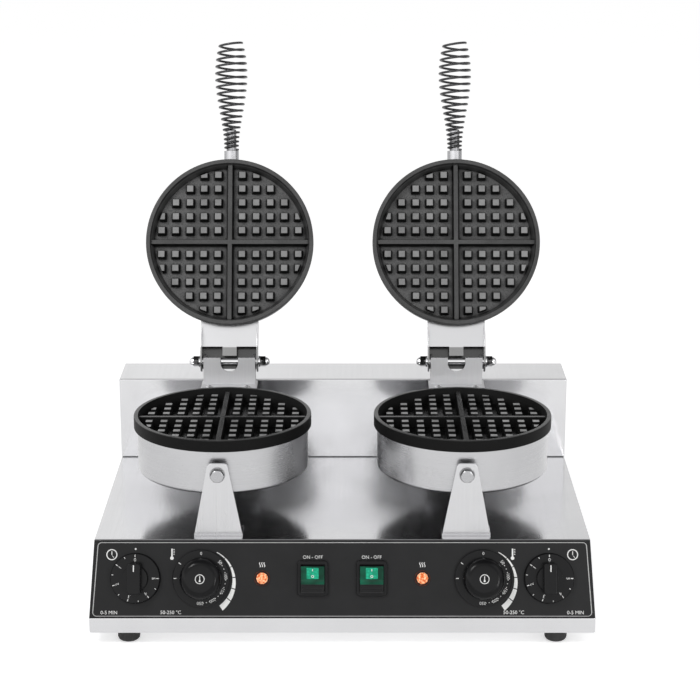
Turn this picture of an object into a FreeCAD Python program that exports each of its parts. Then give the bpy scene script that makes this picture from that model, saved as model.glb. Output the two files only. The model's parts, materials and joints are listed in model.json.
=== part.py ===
# Twin round waffle baker: a folded steel base with a sloped control panel and a rear housing carries
# two round heads. Each head has a lower grid plate in a steel shell and a hinged lid with a coil handle.
# Millimetres, +X to the right, +Y to the rear, +Z up. Pieces are modelled with Y counted from the base's
# front edge, Z from the floor and the lids closed. The lids are then opened and the whole is moved to
# its origin.
import FreeCAD, Part
import math
import os
from FreeCAD import Placement, Rotation, Vector

# Folded base
base_width = 550.0
deck_width = 540.0
base_depth = 371.0
base_height = 97.6
lip_height = 16.8
panel_slope = 20.0
sheet = 1.2
bend_inside = 0.3
flange = 16.0
bottom_screw_inset = 12.5
plate_inset = 4.0

# Rear housing
housing_behind_head = 157.2
housing_height = 99.2
housing_flange = 14.0
cover_margin = 2.0
cover_screw_inset = 8.4
vent_count = 9
vent_width = 4.0
vent_height = 40.0
vent_pitch = 12.0
wire_slot_length = 320.0
wire_slot_width = 22.0

# Feet
foot_height = 13.8
foot_radius = 12.25
foot_tread_radius = 7.5
foot_recess_radius = 5.5
foot_recess_depth = 7.0
foot_from_side = 41.0
foot_from_front = 20.0
foot_from_rear = 30.0

# Heads and grid plates
head_spacing = 270.6
head_from_front = 145.5
rim_over_deck = 107.3
plate_radius = 100.0
rim_wall = 13.0
rim_flat = 4.7
rim_rounding = 1.0
well_depth = 15.0
well_draft = 4.5
well_wall = 2.0
plate_floor = 7.0
peg_pitch = 16.85
peg_offset = 14.4
peg_base = 10.7
peg_top = 7.4
peg_height = 10.0
peg_margin = 2.6
rib_base = 8.0
rib_top = 5.0
rib_height = 10.6
shell_radius = 96.2
shell_wall = 1.0
shell_rounding = 4.0
shell_over_deck = 44.7
lid_shell_height = 38.0
lid_gap = 0.4

# Inside the heads
seat_gap = 0.2
heater_radius = 62.0
heater_tube_radius = 4.0
heater_leg_spread = 12.0
heater_leg_length = 5.0
heater_leg_radius = 2.8
insulation_thickness = 14.0
bulb_radius = 3.0
bulb_length = 70.0
bulb_offset = 30.0

# Support brackets
bracket_thickness = 2.5
bracket_gap = 3.6
bracket_foot = 24.0
foot_bolt_inset = 7.5
bracket_over_bolt = 13.0
front_bracket_top = 21.5
front_bracket_bottom = 53.0
bracket_corner = 5.0
shell_bolt_below_rim = 36.9
rear_bracket_bottom = 74.0
ledge_width = 66.0
ledge_depth = 42.0
ledge_drop = 27.5
ledge_bolt_spread = 44.0
ledge_bolt_setback = 9.0

# Hinges
pin_over_rim = 18.75
pin_behind_head = 142.1
pin_radius = 4.0
lid_open = 112.75
hinge_box_width = 61.6
hinge_web_setback = 10.0
hinge_web_rise = 7.0
cheek_radius = 10.2
cheek_heel = 6.2
notch_width = 20.8
notch_drop = 10.4
arm_width = 68.7
arm_sheet = 2.0
arm_end_radius = 12.5
arm_tail = 8.0
arm_front = 4.0
arm_window = 17.0
arm_neck = 30.0
tongue_width = 17.0
tongue_tip = 6.0
nut_height = 6.5
nut_flats = 11.0
nut_side_play = 0.5
nut_washer_radius = 6.8
nut_dome_radius = 5.2
washer_thickness = 1.6

# Coil handles
handle_over_rim = 30.0
handle_droop = 10.0
rod_radius = 6.0
rod_in_coil = 26.0
rod_rounding = 2.0
stub_radius = 4.0
stub_length = 9.0
collar_radius = 8.9
collar_length = 19.7
coil_length = 133.4
coil_wire = 2.8
coil_base_diameter = 18.0
coil_widest_diameter = 39.5
coil_top_diameter = 27.0
coil_widest_at = 92.0
coil_base_pitch = 4.6
coil_top_pitch = 8.2
coil_pitch_rise = 60.0

# Control panel and its controls
panel_thickness = 1.0
panel_margin = 0.6
control_up = 44.0
timer_x = 224.5
thermostat_x = 153.0
lamp_x = 87.0
switch_x = 32.0
shaft_radius = 3.0
shaft_length = 24.0
bush_radius = 5.0
bush_height = 4.0
knob_gap = 0.8
knob_recess_radius = 9.0
knob_draft = 1.2
control_corner = 2.5
timer_skirt_radius = 27.5
timer_skirt_height = 5.0
timer_boss_radius = 15.0
timer_boss_height = 11.0
timer_bar_width = 15.0
timer_bar_length = 34.5
timer_bar_height = 21.0
timer_bar_corner = 3.8
timer_bar_rounding = 1.6
timer_box = 46.0
timer_box_depth = 38.0
thermostat_skirt_radius = 31.0
thermostat_skirt_height = 4.0
thermostat_dome_radius = 22.5
thermostat_dome_height = 23.0
thermostat_dome_rounding = 5.0
thermostat_box_width = 44.0
thermostat_box_height = 36.0
thermostat_box_depth = 30.0
lamp_bezel_radius = 8.0
lamp_bezel_height = 2.2
lamp_bezel_rounding = 0.8
lamp_tube_radius = 5.2
lamp_tube_depth = 24.0
lamp_lens_radius = 6.4
lamp_lens_rise = 3.2
switch_width = 33.3
switch_height = 38.6
switch_frame_height = 4.5
switch_corner = 4.0
switch_rounding = 1.2
switch_wall = 2.0
rocker_width = 25.0
rocker_height = 29.0
rocker_root_height = 20.0
rocker_proud = 5.5
rocker_drop = 5.0
rocker_tilt = 8.0
rocker_gap = 0.6
trunnion_radius = 2.0
trunnion_length = 1.6
switch_body_depth = 26.0

# Fasteners, gland and terminals
bolt_radius = 2.5
bolt_head_radius = 4.6
bolt_head_height = 3.4
bolt_dome_rounding = 2.4
bolt_spare = 7.5
nut_flats_per_radius = 3.2
nut_height_per_radius = 1.6
shell_bolt_radius = 3.0
shell_bolt_flats = 13.0
shell_bolt_head_height = 4.6
shell_bolt_crown = 1.8
shell_washer_radius = 8.4
screw_radius = 1.9
screw_head_radius = 3.6
screw_head_height = 2.2
screw_head_rounding = 1.3
screw_length = 8.0
fit_clearance = 0.05
hole_clearance = 0.25
gland_from_side = 85.0
gland_up = 46.0
gland_radius = 9.0
gland_collar_radius = 13.0
gland_bore_radius = 4.6
gland_inner_height = 5.4
gland_hex_height = 6.4
gland_nose_height = 9.6
gland_nose_radius = 12.0
gland_tip_radius = 6.9
terminal_length = 80.0
terminal_ways = 6
terminal_hole_radius = 3.6
terminal_width = 22.0
terminal_height = 18.0

# Levels and places that follow from the sizes above
base_bottom = foot_height + sheet
deck_level = base_bottom + base_height
panel_run = (base_height - lip_height) * math.tan(math.radians(panel_slope))
panel_length = (base_height - lip_height) / math.cos(math.radians(panel_slope))
bend_outside = bend_inside + sheet
housing_front = head_from_front + housing_behind_head
housing_depth = base_depth - housing_front
rim_level = deck_level + rim_over_deck
shell_height = rim_over_deck - rim_wall - shell_over_deck
well_radius = plate_radius - rim_flat
plate_depth = well_depth + plate_floor
plate_core_radius = shell_radius - shell_wall - 2.0 * seat_gap
well_floor_radius = min(well_radius - well_draft, plate_core_radius - well_wall)
pin_y = head_from_front + pin_behind_head
pin_z = rim_level + pin_over_rim
lid_rim_level = rim_level + lid_gap
shell_bolt_z = rim_level - shell_bolt_below_rim
head_radius = max(plate_radius, shell_radius)
bracket_standoff = head_radius + bracket_gap - shell_radius
front_bracket_y = head_from_front - head_radius - bracket_gap - bracket_thickness
rear_bracket_y = head_from_front + head_radius + bracket_gap
ledge_level = pin_z - ledge_drop
X_AXIS = Vector(1, 0, 0)
Y_AXIS = Vector(0, 1, 0)
Z_AXIS = Vector(0, 0, 1)
SIDES = (("left", -1), ("right", 1))


# Small helpers
def box(x_low, x_high, y_low, y_high, z_low, z_high):
    return Part.makeBox(x_high - x_low, y_high - y_low, z_high - z_low, Vector(x_low, y_low, z_low))


def cylinder(radius, start, axis, length):
    return Part.makeCylinder(radius, length, start, axis)


def hole(radius, place, axis, reach):
    """A round cutter through a place, reaching equally far to both sides of it."""
    return cylinder(radius, place - axis * reach, axis, 2 * reach)


def edges_above(shape, level):
    """The edges of a shape that lie wholly over a level."""
    return [edge for edge in shape.Edges if edge.BoundBox.ZMin > level]


def edges_below(shape, level):
    return [edge for edge in shape.Edges if edge.BoundBox.ZMax < level]


def closed_wire(points):
    return Part.makePolygon(points + [points[0]])


def prism_x(outline, x_low, x_high):
    """Extrudes an outline of (y, z) points from x_low to x_high."""
    wire = closed_wire([Vector(x_low, y, z) for y, z in outline])
    return Part.Face(wire).extrude(Vector(x_high - x_low, 0, 0))


def prism_y(outline, y_low, y_high):
    """Extrudes an outline of (x, z) points from y_low to y_high."""
    wire = closed_wire([Vector(x, y_low, z) for x, z in outline])
    return Part.Face(wire).extrude(Vector(0, y_high - y_low, 0))


def turned(outline):
    """Turns an outline of (radius, z) points about the Z axis."""
    wire = closed_wire([Vector(radius, 0, z) for radius, z in outline])
    return Part.Face(wire).revolve(Vector(0, 0, 0), Z_AXIS, 360)


def moved(shape, place):
    copy = shape.copy()
    copy.translate(place)
    return copy


def turned_to(shape, axis, angle, place):
    copy = shape.copy()
    copy.Placement = Placement(place, Rotation(axis, angle)).multiply(copy.Placement)
    return copy


def cut_all(shape, cutters):
    return shape.cut(Part.makeCompound(cutters))


def joined(shapes):
    whole = shapes[0].multiFuse(shapes[1:])
    return whole.removeSplitter()


def on_panel(shape, x, up=control_up):
    """Puts a piece modelled about Z on the sloped panel, its Z along the panel's outward normal."""
    angle = math.radians(panel_slope)
    foot = Vector(x, up * math.sin(angle), base_bottom + lip_height + up * math.cos(angle))
    return turned_to(shape, X_AXIS, 90.0 - panel_slope, foot)


def rounded_block(width, height, corner, z_low, z_high):
    block = box(-width / 2, width / 2, -height / 2, height / 2, z_low, z_high)
    upright = [edge for edge in block.Edges if abs(edge.tangentAt(edge.FirstParameter).z) > 0.9]
    return block.makeFillet(corner, upright)


def hexagon(flats, height):
    radius = flats / math.sqrt(3.0)
    angles = [k * math.pi / 3 for k in range(6)]
    corners = [Vector(radius * math.cos(angle), radius * math.sin(angle), 0) for angle in angles]
    return Part.Face(closed_wire(corners)).extrude(Vector(0, 0, height))


def head_x(side):
    return side * head_spacing / 2.0


# Base and housing
def base_hull(inset):
    """The base's folded form, with its walls brought in by inset."""
    profile = [
        Vector(-base_width, 0, base_bottom),
        Vector(-base_width, 0, base_bottom + lip_height),
        Vector(-base_width, panel_run, deck_level),
        Vector(-base_width, base_depth, deck_level),
        Vector(-base_width, base_depth, base_bottom),
    ]
    front = [
        Vector(-base_width / 2, 0, base_bottom),
        Vector(-base_width / 2, 0, base_bottom + lip_height),
        Vector(-deck_width / 2, 0, deck_level),
        Vector(deck_width / 2, 0, deck_level),
        Vector(base_width / 2, 0, base_bottom + lip_height),
        Vector(base_width / 2, 0, base_bottom),
    ]
    wires = []
    for points in (profile, front):
        wire = closed_wire(points)
        if inset:
            wire = wire.makeOffset2D(-inset, 2)
        wires.append(wire)
    along = Part.Face(wires[0]).extrude(Vector(2 * base_width, 0, 0))
    across = Part.Face(wires[1]).extrude(Vector(0, base_depth, 0))
    hull = along.common(across)
    return hull.makeFillet(bend_outside - inset, hull.Edges)


def panel_cutters():
    """Holes for the bushes, lamps and switches, through the panel and the sheet behind it."""
    depth = 4.0 * (sheet + panel_thickness)
    cutters = []
    for name, side in SIDES:
        bush_hole = hole(bush_radius + hole_clearance, Vector(0, 0, 0), Z_AXIS, depth / 2)
        lamp_hole = hole(lamp_tube_radius + hole_clearance, Vector(0, 0, 0), Z_AXIS, depth / 2)
        switch_hole = switch_body_block(hole_clearance, -depth / 2, depth / 2)
        cutters.append(on_panel(bush_hole, side * timer_x))
        cutters.append(on_panel(bush_hole, side * thermostat_x))
        cutters.append(on_panel(lamp_hole, side * lamp_x))
        cutters.append(on_panel(switch_hole, side * switch_x))
    return cutters


def bracket_foot_places(bracket_y, inward):
    """Bolt places on the deck under one bracket of each head."""
    y = bracket_y + bracket_thickness / 2 + inward * (bracket_thickness / 2 + bracket_foot / 2)
    spread = front_bracket_bottom / 2 - foot_bolt_inset
    places = []
    for name, side in SIDES:
        for end in (-1, 1):
            places.append(Vector(head_x(side) + end * spread, y, deck_level))
    return places


def deck_bolt_places():
    return bracket_foot_places(front_bracket_y, 1) + bracket_foot_places(rear_bracket_y, -1)


def bottom_screw_places():
    reach_x = base_width / 2 - bottom_screw_inset
    rear_y = base_depth - bottom_screw_inset
    places = []
    for x in (-reach_x, 0.0, reach_x):
        for y in (bottom_screw_inset, rear_y):
            places.append(Vector(x, y, base_bottom))
    return places


def cover_screw_places():
    reach_x = deck_width / 2 - cover_screw_inset
    low = deck_level + cover_screw_inset
    high = deck_level + housing_height - cover_screw_inset
    return [Vector(x, base_depth, z) for x in (-reach_x, 0.0, reach_x) for z in (low, high)]


def foot_places():
    reach_x = base_width / 2 - foot_from_side
    rear_y = base_depth - foot_from_rear
    return [Vector(x, y, 0) for x in (-reach_x, reach_x) for y in (foot_from_front, rear_y)]


def gland_place():
    return Vector(gland_from_side - base_width / 2, base_depth, base_bottom + gland_up)


def base_chassis():
    body = base_hull(0.0).cut(base_hull(sheet))
    reach = base_width / 2 - flange
    cutters = [box(-reach, reach, flange, base_depth - flange,
                   base_bottom - sheet, base_bottom + 2 * sheet)]
    slot_middle = base_depth - housing_depth / 2
    cutters.append(box(-wire_slot_length / 2, wire_slot_length / 2, slot_middle - wire_slot_width / 2,
                       slot_middle + wire_slot_width / 2, deck_level - 2 * sheet, deck_level + sheet))
    for place in deck_bolt_places():
        cutters.append(hole(bolt_radius + hole_clearance, place, Z_AXIS, 2 * sheet))
    for place in bottom_screw_places():
        cutters.append(hole(screw_radius + fit_clearance, place, Z_AXIS, 2 * sheet))
    cutters.append(hole(gland_radius + hole_clearance, gland_place(), Y_AXIS, 3 * sheet))
    return cut_all(body, cutters + panel_cutters())


def bottom_plate():
    reach = base_width / 2 - plate_inset
    plate = box(-reach, reach, plate_inset, base_depth - plate_inset, foot_height, base_bottom)
    cutters = []
    for place in bottom_screw_places():
        cutters.append(hole(screw_radius + hole_clearance, place, Z_AXIS, 2 * sheet))
    for place in foot_places():
        cutters.append(hole(bolt_radius + hole_clearance, place + Z_AXIS * foot_height, Z_AXIS, 2 * sheet))
    return cut_all(plate, cutters)


def rear_housing():
    top = deck_level + housing_height
    half = deck_width / 2
    body = box(-half, half, housing_front, base_depth, deck_level, top)
    body = body.makeFillet(bend_outside, body.Edges)
    inside = box(-half + sheet, half - sheet, housing_front + sheet, base_depth - sheet,
                 deck_level + sheet, top - sheet)
    inside = inside.makeFillet(bend_inside, inside.Edges)
    back = box(-half + housing_flange, half - housing_flange, base_depth - 2 * sheet, base_depth + sheet,
               deck_level + housing_flange, top - housing_flange)
    floor = box(-half + housing_flange, half - housing_flange, housing_front + housing_flange,
                base_depth - housing_flange, deck_level - sheet, deck_level + 2 * sheet)
    cutters = [inside, back, floor]
    for place in cover_screw_places():
        cutters.append(hole(screw_radius + fit_clearance, place, Y_AXIS, 2 * sheet))
    return cut_all(body, cutters)


def rear_cover():
    half = deck_width / 2 - cover_margin
    low = deck_level + cover_margin
    high = deck_level + housing_height - cover_margin
    plate = box(-half, half, base_depth, base_depth + sheet, low, high)
    cutters = []
    for place in cover_screw_places():
        cutters.append(hole(screw_radius + hole_clearance, place, Y_AXIS, 2 * sheet))
    middle = (low + high) / 2
    for name, side in SIDES:
        for k in range(vent_count):
            x = head_x(side) + (k - (vent_count - 1) / 2) * vent_pitch
            cutters.append(box(x - vent_width / 2, x + vent_width / 2,
                               base_depth - sheet, base_depth + 2 * sheet,
                               middle - vent_height / 2, middle + vent_height / 2))
    return cut_all(plate, cutters)


def control_panel():
    low = base_width / 2 - panel_margin
    high = deck_width / 2 - panel_margin
    top = panel_length - panel_margin
    corners = [Vector(-low, panel_margin, 0), Vector(low, panel_margin, 0),
               Vector(high, top, 0), Vector(-high, top, 0)]
    plate = Part.Face(closed_wire(corners)).extrude(Vector(0, 0, panel_thickness))
    return cut_all(on_panel(plate, 0.0, 0.0), panel_cutters())


def feet():
    """Rubber feet, domed down to a flat tread, each with a recess for its screw."""
    foot = cylinder(foot_radius, Vector(0, 0, 0), Z_AXIS, foot_height)
    foot = foot.makeFillet(foot_radius - foot_tread_radius, edges_below(foot, foot_height / 2))
    recess = cylinder(foot_recess_radius, Vector(0, 0, 0), Z_AXIS, foot_recess_depth)
    screw_hole = hole(bolt_radius + hole_clearance, Vector(0, 0, foot_height), Z_AXIS, foot_height)
    foot = cut_all(foot, [recess, screw_hole])
    return [moved(foot, place) for place in foot_places()]


def foot_screws():
    length = foot_height - foot_recess_depth + sheet + bolt_spare
    seat = Vector(0, 0, foot_recess_depth)
    screw = cylinder(bolt_radius, seat, Z_AXIS, length)
    head = cylinder(bolt_head_radius, seat, -Z_AXIS, bolt_head_height)
    nut = bolt_nut(bolt_radius)
    solids = []
    for place in foot_places():
        solids.append(moved(screw.fuse(head), place))
        solids.append(moved(nut, place + Z_AXIS * base_bottom))
    return solids


def pan_screw():
    """A screw whose head sits on Z = 0 and whose shank goes down."""
    shank = cylinder(screw_radius, Vector(0, 0, -screw_length), Z_AXIS, screw_length)
    head = cylinder(screw_head_radius, Vector(0, 0, 0), Z_AXIS, screw_head_height)
    rim = edges_above(head, screw_head_height / 2)
    return head.makeFillet(screw_head_rounding, rim).fuse(shank)


def case_screws():
    solids = []
    for place in bottom_screw_places():
        solids.append(turned_to(pan_screw(), X_AXIS, 180.0, place - Z_AXIS * sheet))
    for place in cover_screw_places():
        solids.append(turned_to(pan_screw(), X_AXIS, -90.0, place + Y_AXIS * sheet))
    return solids


def cable_gland():
    """Threaded neck through the rear wall, a collar on each side and a tapered nose with the cord bore."""
    inner_end = -sheet - gland_inner_height
    nose_start = Vector(0, 0, gland_hex_height)
    body = [
        cylinder(gland_radius, Vector(0, 0, -sheet), Z_AXIS, sheet),
        cylinder(gland_collar_radius, Vector(0, 0, inner_end), Z_AXIS, gland_inner_height),
        hexagon(2.0 * gland_collar_radius, gland_hex_height),
        Part.makeCone(gland_nose_radius, gland_tip_radius, gland_nose_height, nose_start, Z_AXIS),
    ]
    length = gland_hex_height + gland_nose_height - inner_end
    bore = cylinder(gland_bore_radius, Vector(0, 0, inner_end), Z_AXIS, length)
    return turned_to(joined(body).cut(bore), X_AXIS, -90.0, gland_place())


def terminal_block():
    """A row of terminals on the inside of the housing's front wall, facing the rear cover."""
    block = box(-terminal_length / 2, terminal_length / 2, 0, terminal_height,
                -terminal_width / 2, terminal_width / 2)
    cutters = []
    for k in range(terminal_ways):
        x = (k - (terminal_ways - 1) / 2) * terminal_length / terminal_ways
        place = Vector(x, terminal_height, 0)
        cutters.append(hole(terminal_hole_radius, place, Y_AXIS, terminal_height / 2))
    x_place = deck_width / 2 - 2 * housing_flange - terminal_length / 2
    z_place = deck_level + housing_height / 2
    return moved(cut_all(block, cutters), Vector(x_place, housing_front + sheet, z_place))


# Heads
def grid_plate():
    """A grid plate with its rim in the plane Z = 0 and its well open upwards."""
    rim = cylinder(plate_radius, Vector(0, 0, -rim_wall), Z_AXIS, rim_wall)
    rim = rim.makeFillet(rim_rounding, edges_above(rim, -rim_wall / 2))
    core = cylinder(plate_core_radius, Vector(0, 0, -plate_depth), Z_AXIS, plate_depth - rim_wall)
    well = Part.makeCone(well_floor_radius, well_radius, well_depth, Vector(0, 0, -well_depth), Z_AXIS)
    casting = rim.fuse(core).cut(well)
    pegs = grid_pegs()
    return casting.multiFuse(pegs + cross_ribs(well)).removeSplitter()


def peg(x, y):
    base = peg_base / 2
    top = peg_top / 2
    wedge = Part.makeWedge(-base, 0, -base, -top, -top, base, peg_height, base, top, top)
    return turned_to(wedge, X_AXIS, 90.0, Vector(x, y, -well_depth))


def grid_pegs():
    """Pegs in all four quarters, left out where their middle passes the well's edge, and trimmed there."""
    reach = well_floor_radius - peg_margin
    keep = cylinder(reach, Vector(0, 0, -well_depth), Z_AXIS, well_depth)
    count = int(reach // peg_pitch) + 1
    pegs = []
    for i in range(count):
        for j in range(count):
            x = peg_offset + i * peg_pitch
            y = peg_offset + j * peg_pitch
            if math.hypot(x, y) > reach:
                continue
            whole = math.hypot(x + peg_base / 2, y + peg_base / 2) < reach
            for sign_x in (-1, 1):
                for sign_y in (-1, 1):
                    one = peg(sign_x * x, sign_y * y)
                    pegs.append(one if whole else one.common(keep))
    return pegs


def cross_ribs(well):
    """Two ribs with sloped sides that part the well into quarters."""
    floor = -well_depth
    outline = [(-rib_base / 2, floor), (rib_base / 2, floor),
               (rib_top / 2, floor + rib_height), (-rib_top / 2, floor + rib_height)]
    along_y = prism_y(outline, -plate_radius, plate_radius)
    along_x = turned_to(along_y, Z_AXIS, 90.0, Vector(0, 0, 0))
    return [along_y.common(well), along_x.common(well)]


def shell_cup(height):
    """A steel cup under the plate's rim, open upwards, its closed end at the bottom."""
    bottom = -rim_wall - height
    outer = cylinder(shell_radius, Vector(0, 0, bottom), Z_AXIS, height)
    inner = cylinder(shell_radius - shell_wall, Vector(0, 0, bottom + shell_wall), Z_AXIS, height)
    outer = outer.makeFillet(shell_rounding, edges_below(outer, bottom + height / 2))
    inner = inner.makeFillet(shell_rounding - shell_wall, edges_below(inner, bottom + height / 2))
    return outer.cut(inner)


def heater():
    """A ring-shaped tubular heater under the plate, with two terminal legs."""
    level = -plate_depth - seat_gap - heater_tube_radius
    ring = Part.makeTorus(heater_radius, heater_tube_radius, Vector(0, 0, level), Z_AXIS)
    legs = []
    for end in (-1, 1):
        x = end * heater_leg_spread
        y = math.sqrt(heater_radius ** 2 - x ** 2)
        start = Vector(x, y, level)
        legs.append(cylinder(heater_leg_radius, start, -Z_AXIS, heater_tube_radius + heater_leg_length))
    return ring.multiFuse(legs)


def insulation(height):
    bottom = -rim_wall - height + shell_wall
    radius = shell_radius - shell_wall - seat_gap
    disc = cylinder(radius, Vector(0, 0, bottom), Z_AXIS, insulation_thickness)
    low = edges_below(disc, bottom + insulation_thickness / 2)
    return disc.makeFillet(shell_rounding - shell_wall, low)


def lower_place(side):
    return Vector(head_x(side), head_from_front, rim_level)


def lower_shell(side):
    cup = moved(shell_cup(shell_height), lower_place(side))
    return cup.cut(shell_bolt_hole(side))


def shell_bolt_hole(side):
    """One straight hole through both brackets and the shell between them."""
    middle = Vector(head_x(side), head_from_front, shell_bolt_z)
    return hole(shell_bolt_radius + hole_clearance, middle, Y_AXIS, shell_radius + bracket_foot)


def thermostat_bulb(side):
    level = -plate_depth - seat_gap - bulb_radius
    start = lower_place(side) + Vector(-bulb_length / 2, bulb_offset, level)
    return cylinder(bulb_radius, start, X_AXIS, bulb_length)


# Support brackets and the bolts that hold them
def front_bracket(side):
    low = front_bracket_bottom / 2
    high = front_bracket_top / 2
    top = shell_bolt_z + bracket_over_bolt
    outline = [(-low, deck_level), (low, deck_level), (high, top), (-high, top)]
    plate = prism_y(outline, front_bracket_y, front_bracket_y + bracket_thickness)
    across = [edge for edge in edges_above(plate, top - bracket_corner) if abs(edge.tangentAt(0).y) > 0.9]
    plate = plate.makeFillet(bracket_corner, across)
    foot = box(-low, low, front_bracket_y, front_bracket_y + bracket_thickness + bracket_foot,
               deck_level, deck_level + bracket_thickness)
    whole = moved(joined([plate, foot]), X_AXIS * head_x(side))
    return cut_all(whole, bracket_holes(side, bracket_foot_places(front_bracket_y, 1)))


def bracket_holes(side, foot_bolts):
    cutters = [shell_bolt_hole(side)]
    for place in foot_bolts:
        cutters.append(hole(bolt_radius + hole_clearance, place, Z_AXIS, 2 * bracket_thickness))
    return cutters


def rear_bracket(side):
    low = rear_bracket_bottom / 2
    high = ledge_width / 2
    outline = [(-low, deck_level), (low, deck_level), (high, ledge_level), (-high, ledge_level)]
    plate = prism_y(outline, rear_bracket_y, rear_bracket_y + bracket_thickness)
    foot = box(-low, low, rear_bracket_y - bracket_foot, rear_bracket_y + bracket_thickness,
               deck_level, deck_level + bracket_thickness)
    ledge = box(-high, high, rear_bracket_y, rear_bracket_y + ledge_depth,
                ledge_level - bracket_thickness, ledge_level)
    whole = moved(joined([plate, foot, ledge]), X_AXIS * head_x(side))
    holes = bracket_holes(side, bracket_foot_places(rear_bracket_y, -1))
    for place in ledge_bolt_places():
        holes.append(hole(bolt_radius + hole_clearance, place, Z_AXIS, 2 * bracket_thickness))
    return cut_all(whole, holes)


def ledge_bolt_places():
    places = []
    for name, side in SIDES:
        for end in (-1, 1):
            x = head_x(side) + end * ledge_bolt_spread / 2
            places.append(Vector(x, rear_bracket_y + ledge_bolt_setback, ledge_level))
    return places


def domed_bolt(radius, head_radius, head_height, length):
    """A bolt whose head sits on Z = 0 and whose shank goes down."""
    head = cylinder(head_radius, Vector(0, 0, 0), Z_AXIS, head_height)
    shank = cylinder(radius, Vector(0, 0, 0), -Z_AXIS, length)
    return head.makeFillet(bolt_dome_rounding, edges_above(head, head_height / 2)).fuse(shank)


def hexagon_bolt(radius, flats, head_height, length):
    """A bolt whose hexagon head, with its corners turned off, sits on Z = 0."""
    crown = cylinder(flats / math.sqrt(3.0), Vector(0, 0, 0), Z_AXIS, head_height)
    crown = crown.makeFillet(shell_bolt_crown, edges_above(crown, head_height / 2))
    shank = cylinder(radius, Vector(0, 0, 0), -Z_AXIS, length)
    return hexagon(flats, head_height).common(crown).fuse(shank)


def bolt_nut(radius):
    nut = hexagon(nut_flats_per_radius * radius, nut_height_per_radius * radius)
    bore = hole(radius + fit_clearance, Vector(0, 0, 0), Z_AXIS, 2 * nut_height_per_radius * radius)
    return nut.cut(bore)


def shell_bolt_ends():
    """Outer face of each bracket at its shell bolt, with the turn that points Z outwards there."""
    ends = []
    for name, side in SIDES:
        ends.append((Vector(head_x(side), front_bracket_y, shell_bolt_z), 90.0))
        ends.append((Vector(head_x(side), rear_bracket_y + bracket_thickness, shell_bolt_z), -90.0))
    return ends


def shell_bolts():
    length = washer_thickness + bracket_thickness + bracket_standoff + shell_wall + bolt_spare
    bolt = hexagon_bolt(shell_bolt_radius, shell_bolt_flats, shell_bolt_head_height, length)
    bolt = moved(bolt, Z_AXIS * washer_thickness)
    washer = cylinder(shell_washer_radius, Vector(0, 0, 0), Z_AXIS, washer_thickness)
    whole = joined([bolt, washer])
    return [turned_to(whole, X_AXIS, angle, place) for place, angle in shell_bolt_ends()]


def shell_spacers():
    tube = cylinder(2 * shell_bolt_radius, Vector(0, 0, -bracket_standoff), Z_AXIS, bracket_standoff)
    bore = hole(shell_bolt_radius + hole_clearance, Vector(0, 0, 0), Z_AXIS, 2 * bracket_standoff)
    spacer = moved(tube.cut(bore), -Z_AXIS * bracket_thickness)
    return [turned_to(spacer, X_AXIS, angle, place) for place, angle in shell_bolt_ends()]


def bracket_bolts():
    deck_bolt = domed_bolt(bolt_radius, bolt_head_radius, bolt_head_height,
                           bracket_thickness + sheet + bolt_spare)
    ledge_bolt = domed_bolt(bolt_radius, bolt_head_radius, bolt_head_height,
                            2 * bracket_thickness + bolt_spare)
    solids = [moved(deck_bolt, place + Z_AXIS * bracket_thickness) for place in deck_bolt_places()]
    solids += [moved(ledge_bolt, place + Z_AXIS * bracket_thickness) for place in ledge_bolt_places()]
    return solids


def bracket_nuts():
    nut = bolt_nut(bolt_radius)
    hang = Z_AXIS * (nut_height_per_radius * bolt_radius)
    solids = [moved(nut, place - Z_AXIS * sheet - hang) for place in deck_bolt_places()]
    solids += [moved(nut, place - Z_AXIS * bracket_thickness - hang) for place in ledge_bolt_places()]
    inner = bolt_nut(shell_bolt_radius)
    inside = bracket_thickness + bracket_standoff + shell_wall + seat_gap
    inside += nut_height_per_radius * shell_bolt_radius
    inner = moved(inner, -Z_AXIS * inside)
    solids += [turned_to(inner, X_AXIS, angle, place) for place, angle in shell_bolt_ends()]
    return solids


# Hinges, with the lids closed
def hinge_bracket(side):
    """A floor on the rear bracket's ledge, with a notched front web and two cheeks that hold the pin."""
    floor_top = ledge_level + bracket_thickness
    half = hinge_box_width / 2
    front = pin_y - hinge_web_setback
    crown = pin_z + hinge_web_rise
    floor = box(-ledge_width / 2, ledge_width / 2, rear_bracket_y, rear_bracket_y + ledge_depth,
                ledge_level, floor_top)
    web = box(-half, half, front, front + bracket_thickness, floor_top, crown)
    notch_middle = pin_z - notch_drop + notch_width / 2
    notch = box(-notch_width / 2, notch_width / 2, front - bracket_thickness, front + 2 * bracket_thickness,
                notch_middle, crown + notch_width)
    notch_round = hole(notch_width / 2, Vector(0, front, notch_middle), Y_AXIS, 2 * bracket_thickness)
    web = cut_all(web, [notch, notch_round])
    cheek = hinge_cheek(front, floor_top, crown)
    cheeks = [moved(cheek, X_AXIS * -half), moved(cheek, X_AXIS * (half - bracket_thickness))]
    whole = moved(joined([floor, web] + cheeks), X_AXIS * head_x(side))
    holes = [pin_hole(side)]
    for place in ledge_bolt_places():
        holes.append(hole(bolt_radius + hole_clearance, place, Z_AXIS, 2 * bracket_thickness))
    return cut_all(whole, holes)


def hinge_cheek(front, floor_top, crown):
    """A side plate from X = 0, round behind the pin so that the arm's tail can pass."""
    ahead = box(0, bracket_thickness, front, pin_y, floor_top, crown)
    below = box(0, bracket_thickness, pin_y, pin_y + cheek_heel, floor_top, pin_z)
    round_end = cylinder(cheek_radius, Vector(0, pin_y, pin_z), X_AXIS, bracket_thickness)
    top = box(0, bracket_thickness, front, pin_y + 2 * cheek_radius, floor_top, crown)
    return joined([ahead, below, round_end.common(top)])


def pin_hole(side):
    return hole(pin_radius + fit_clearance, Vector(head_x(side), pin_y, pin_z), X_AXIS, arm_width)


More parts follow.
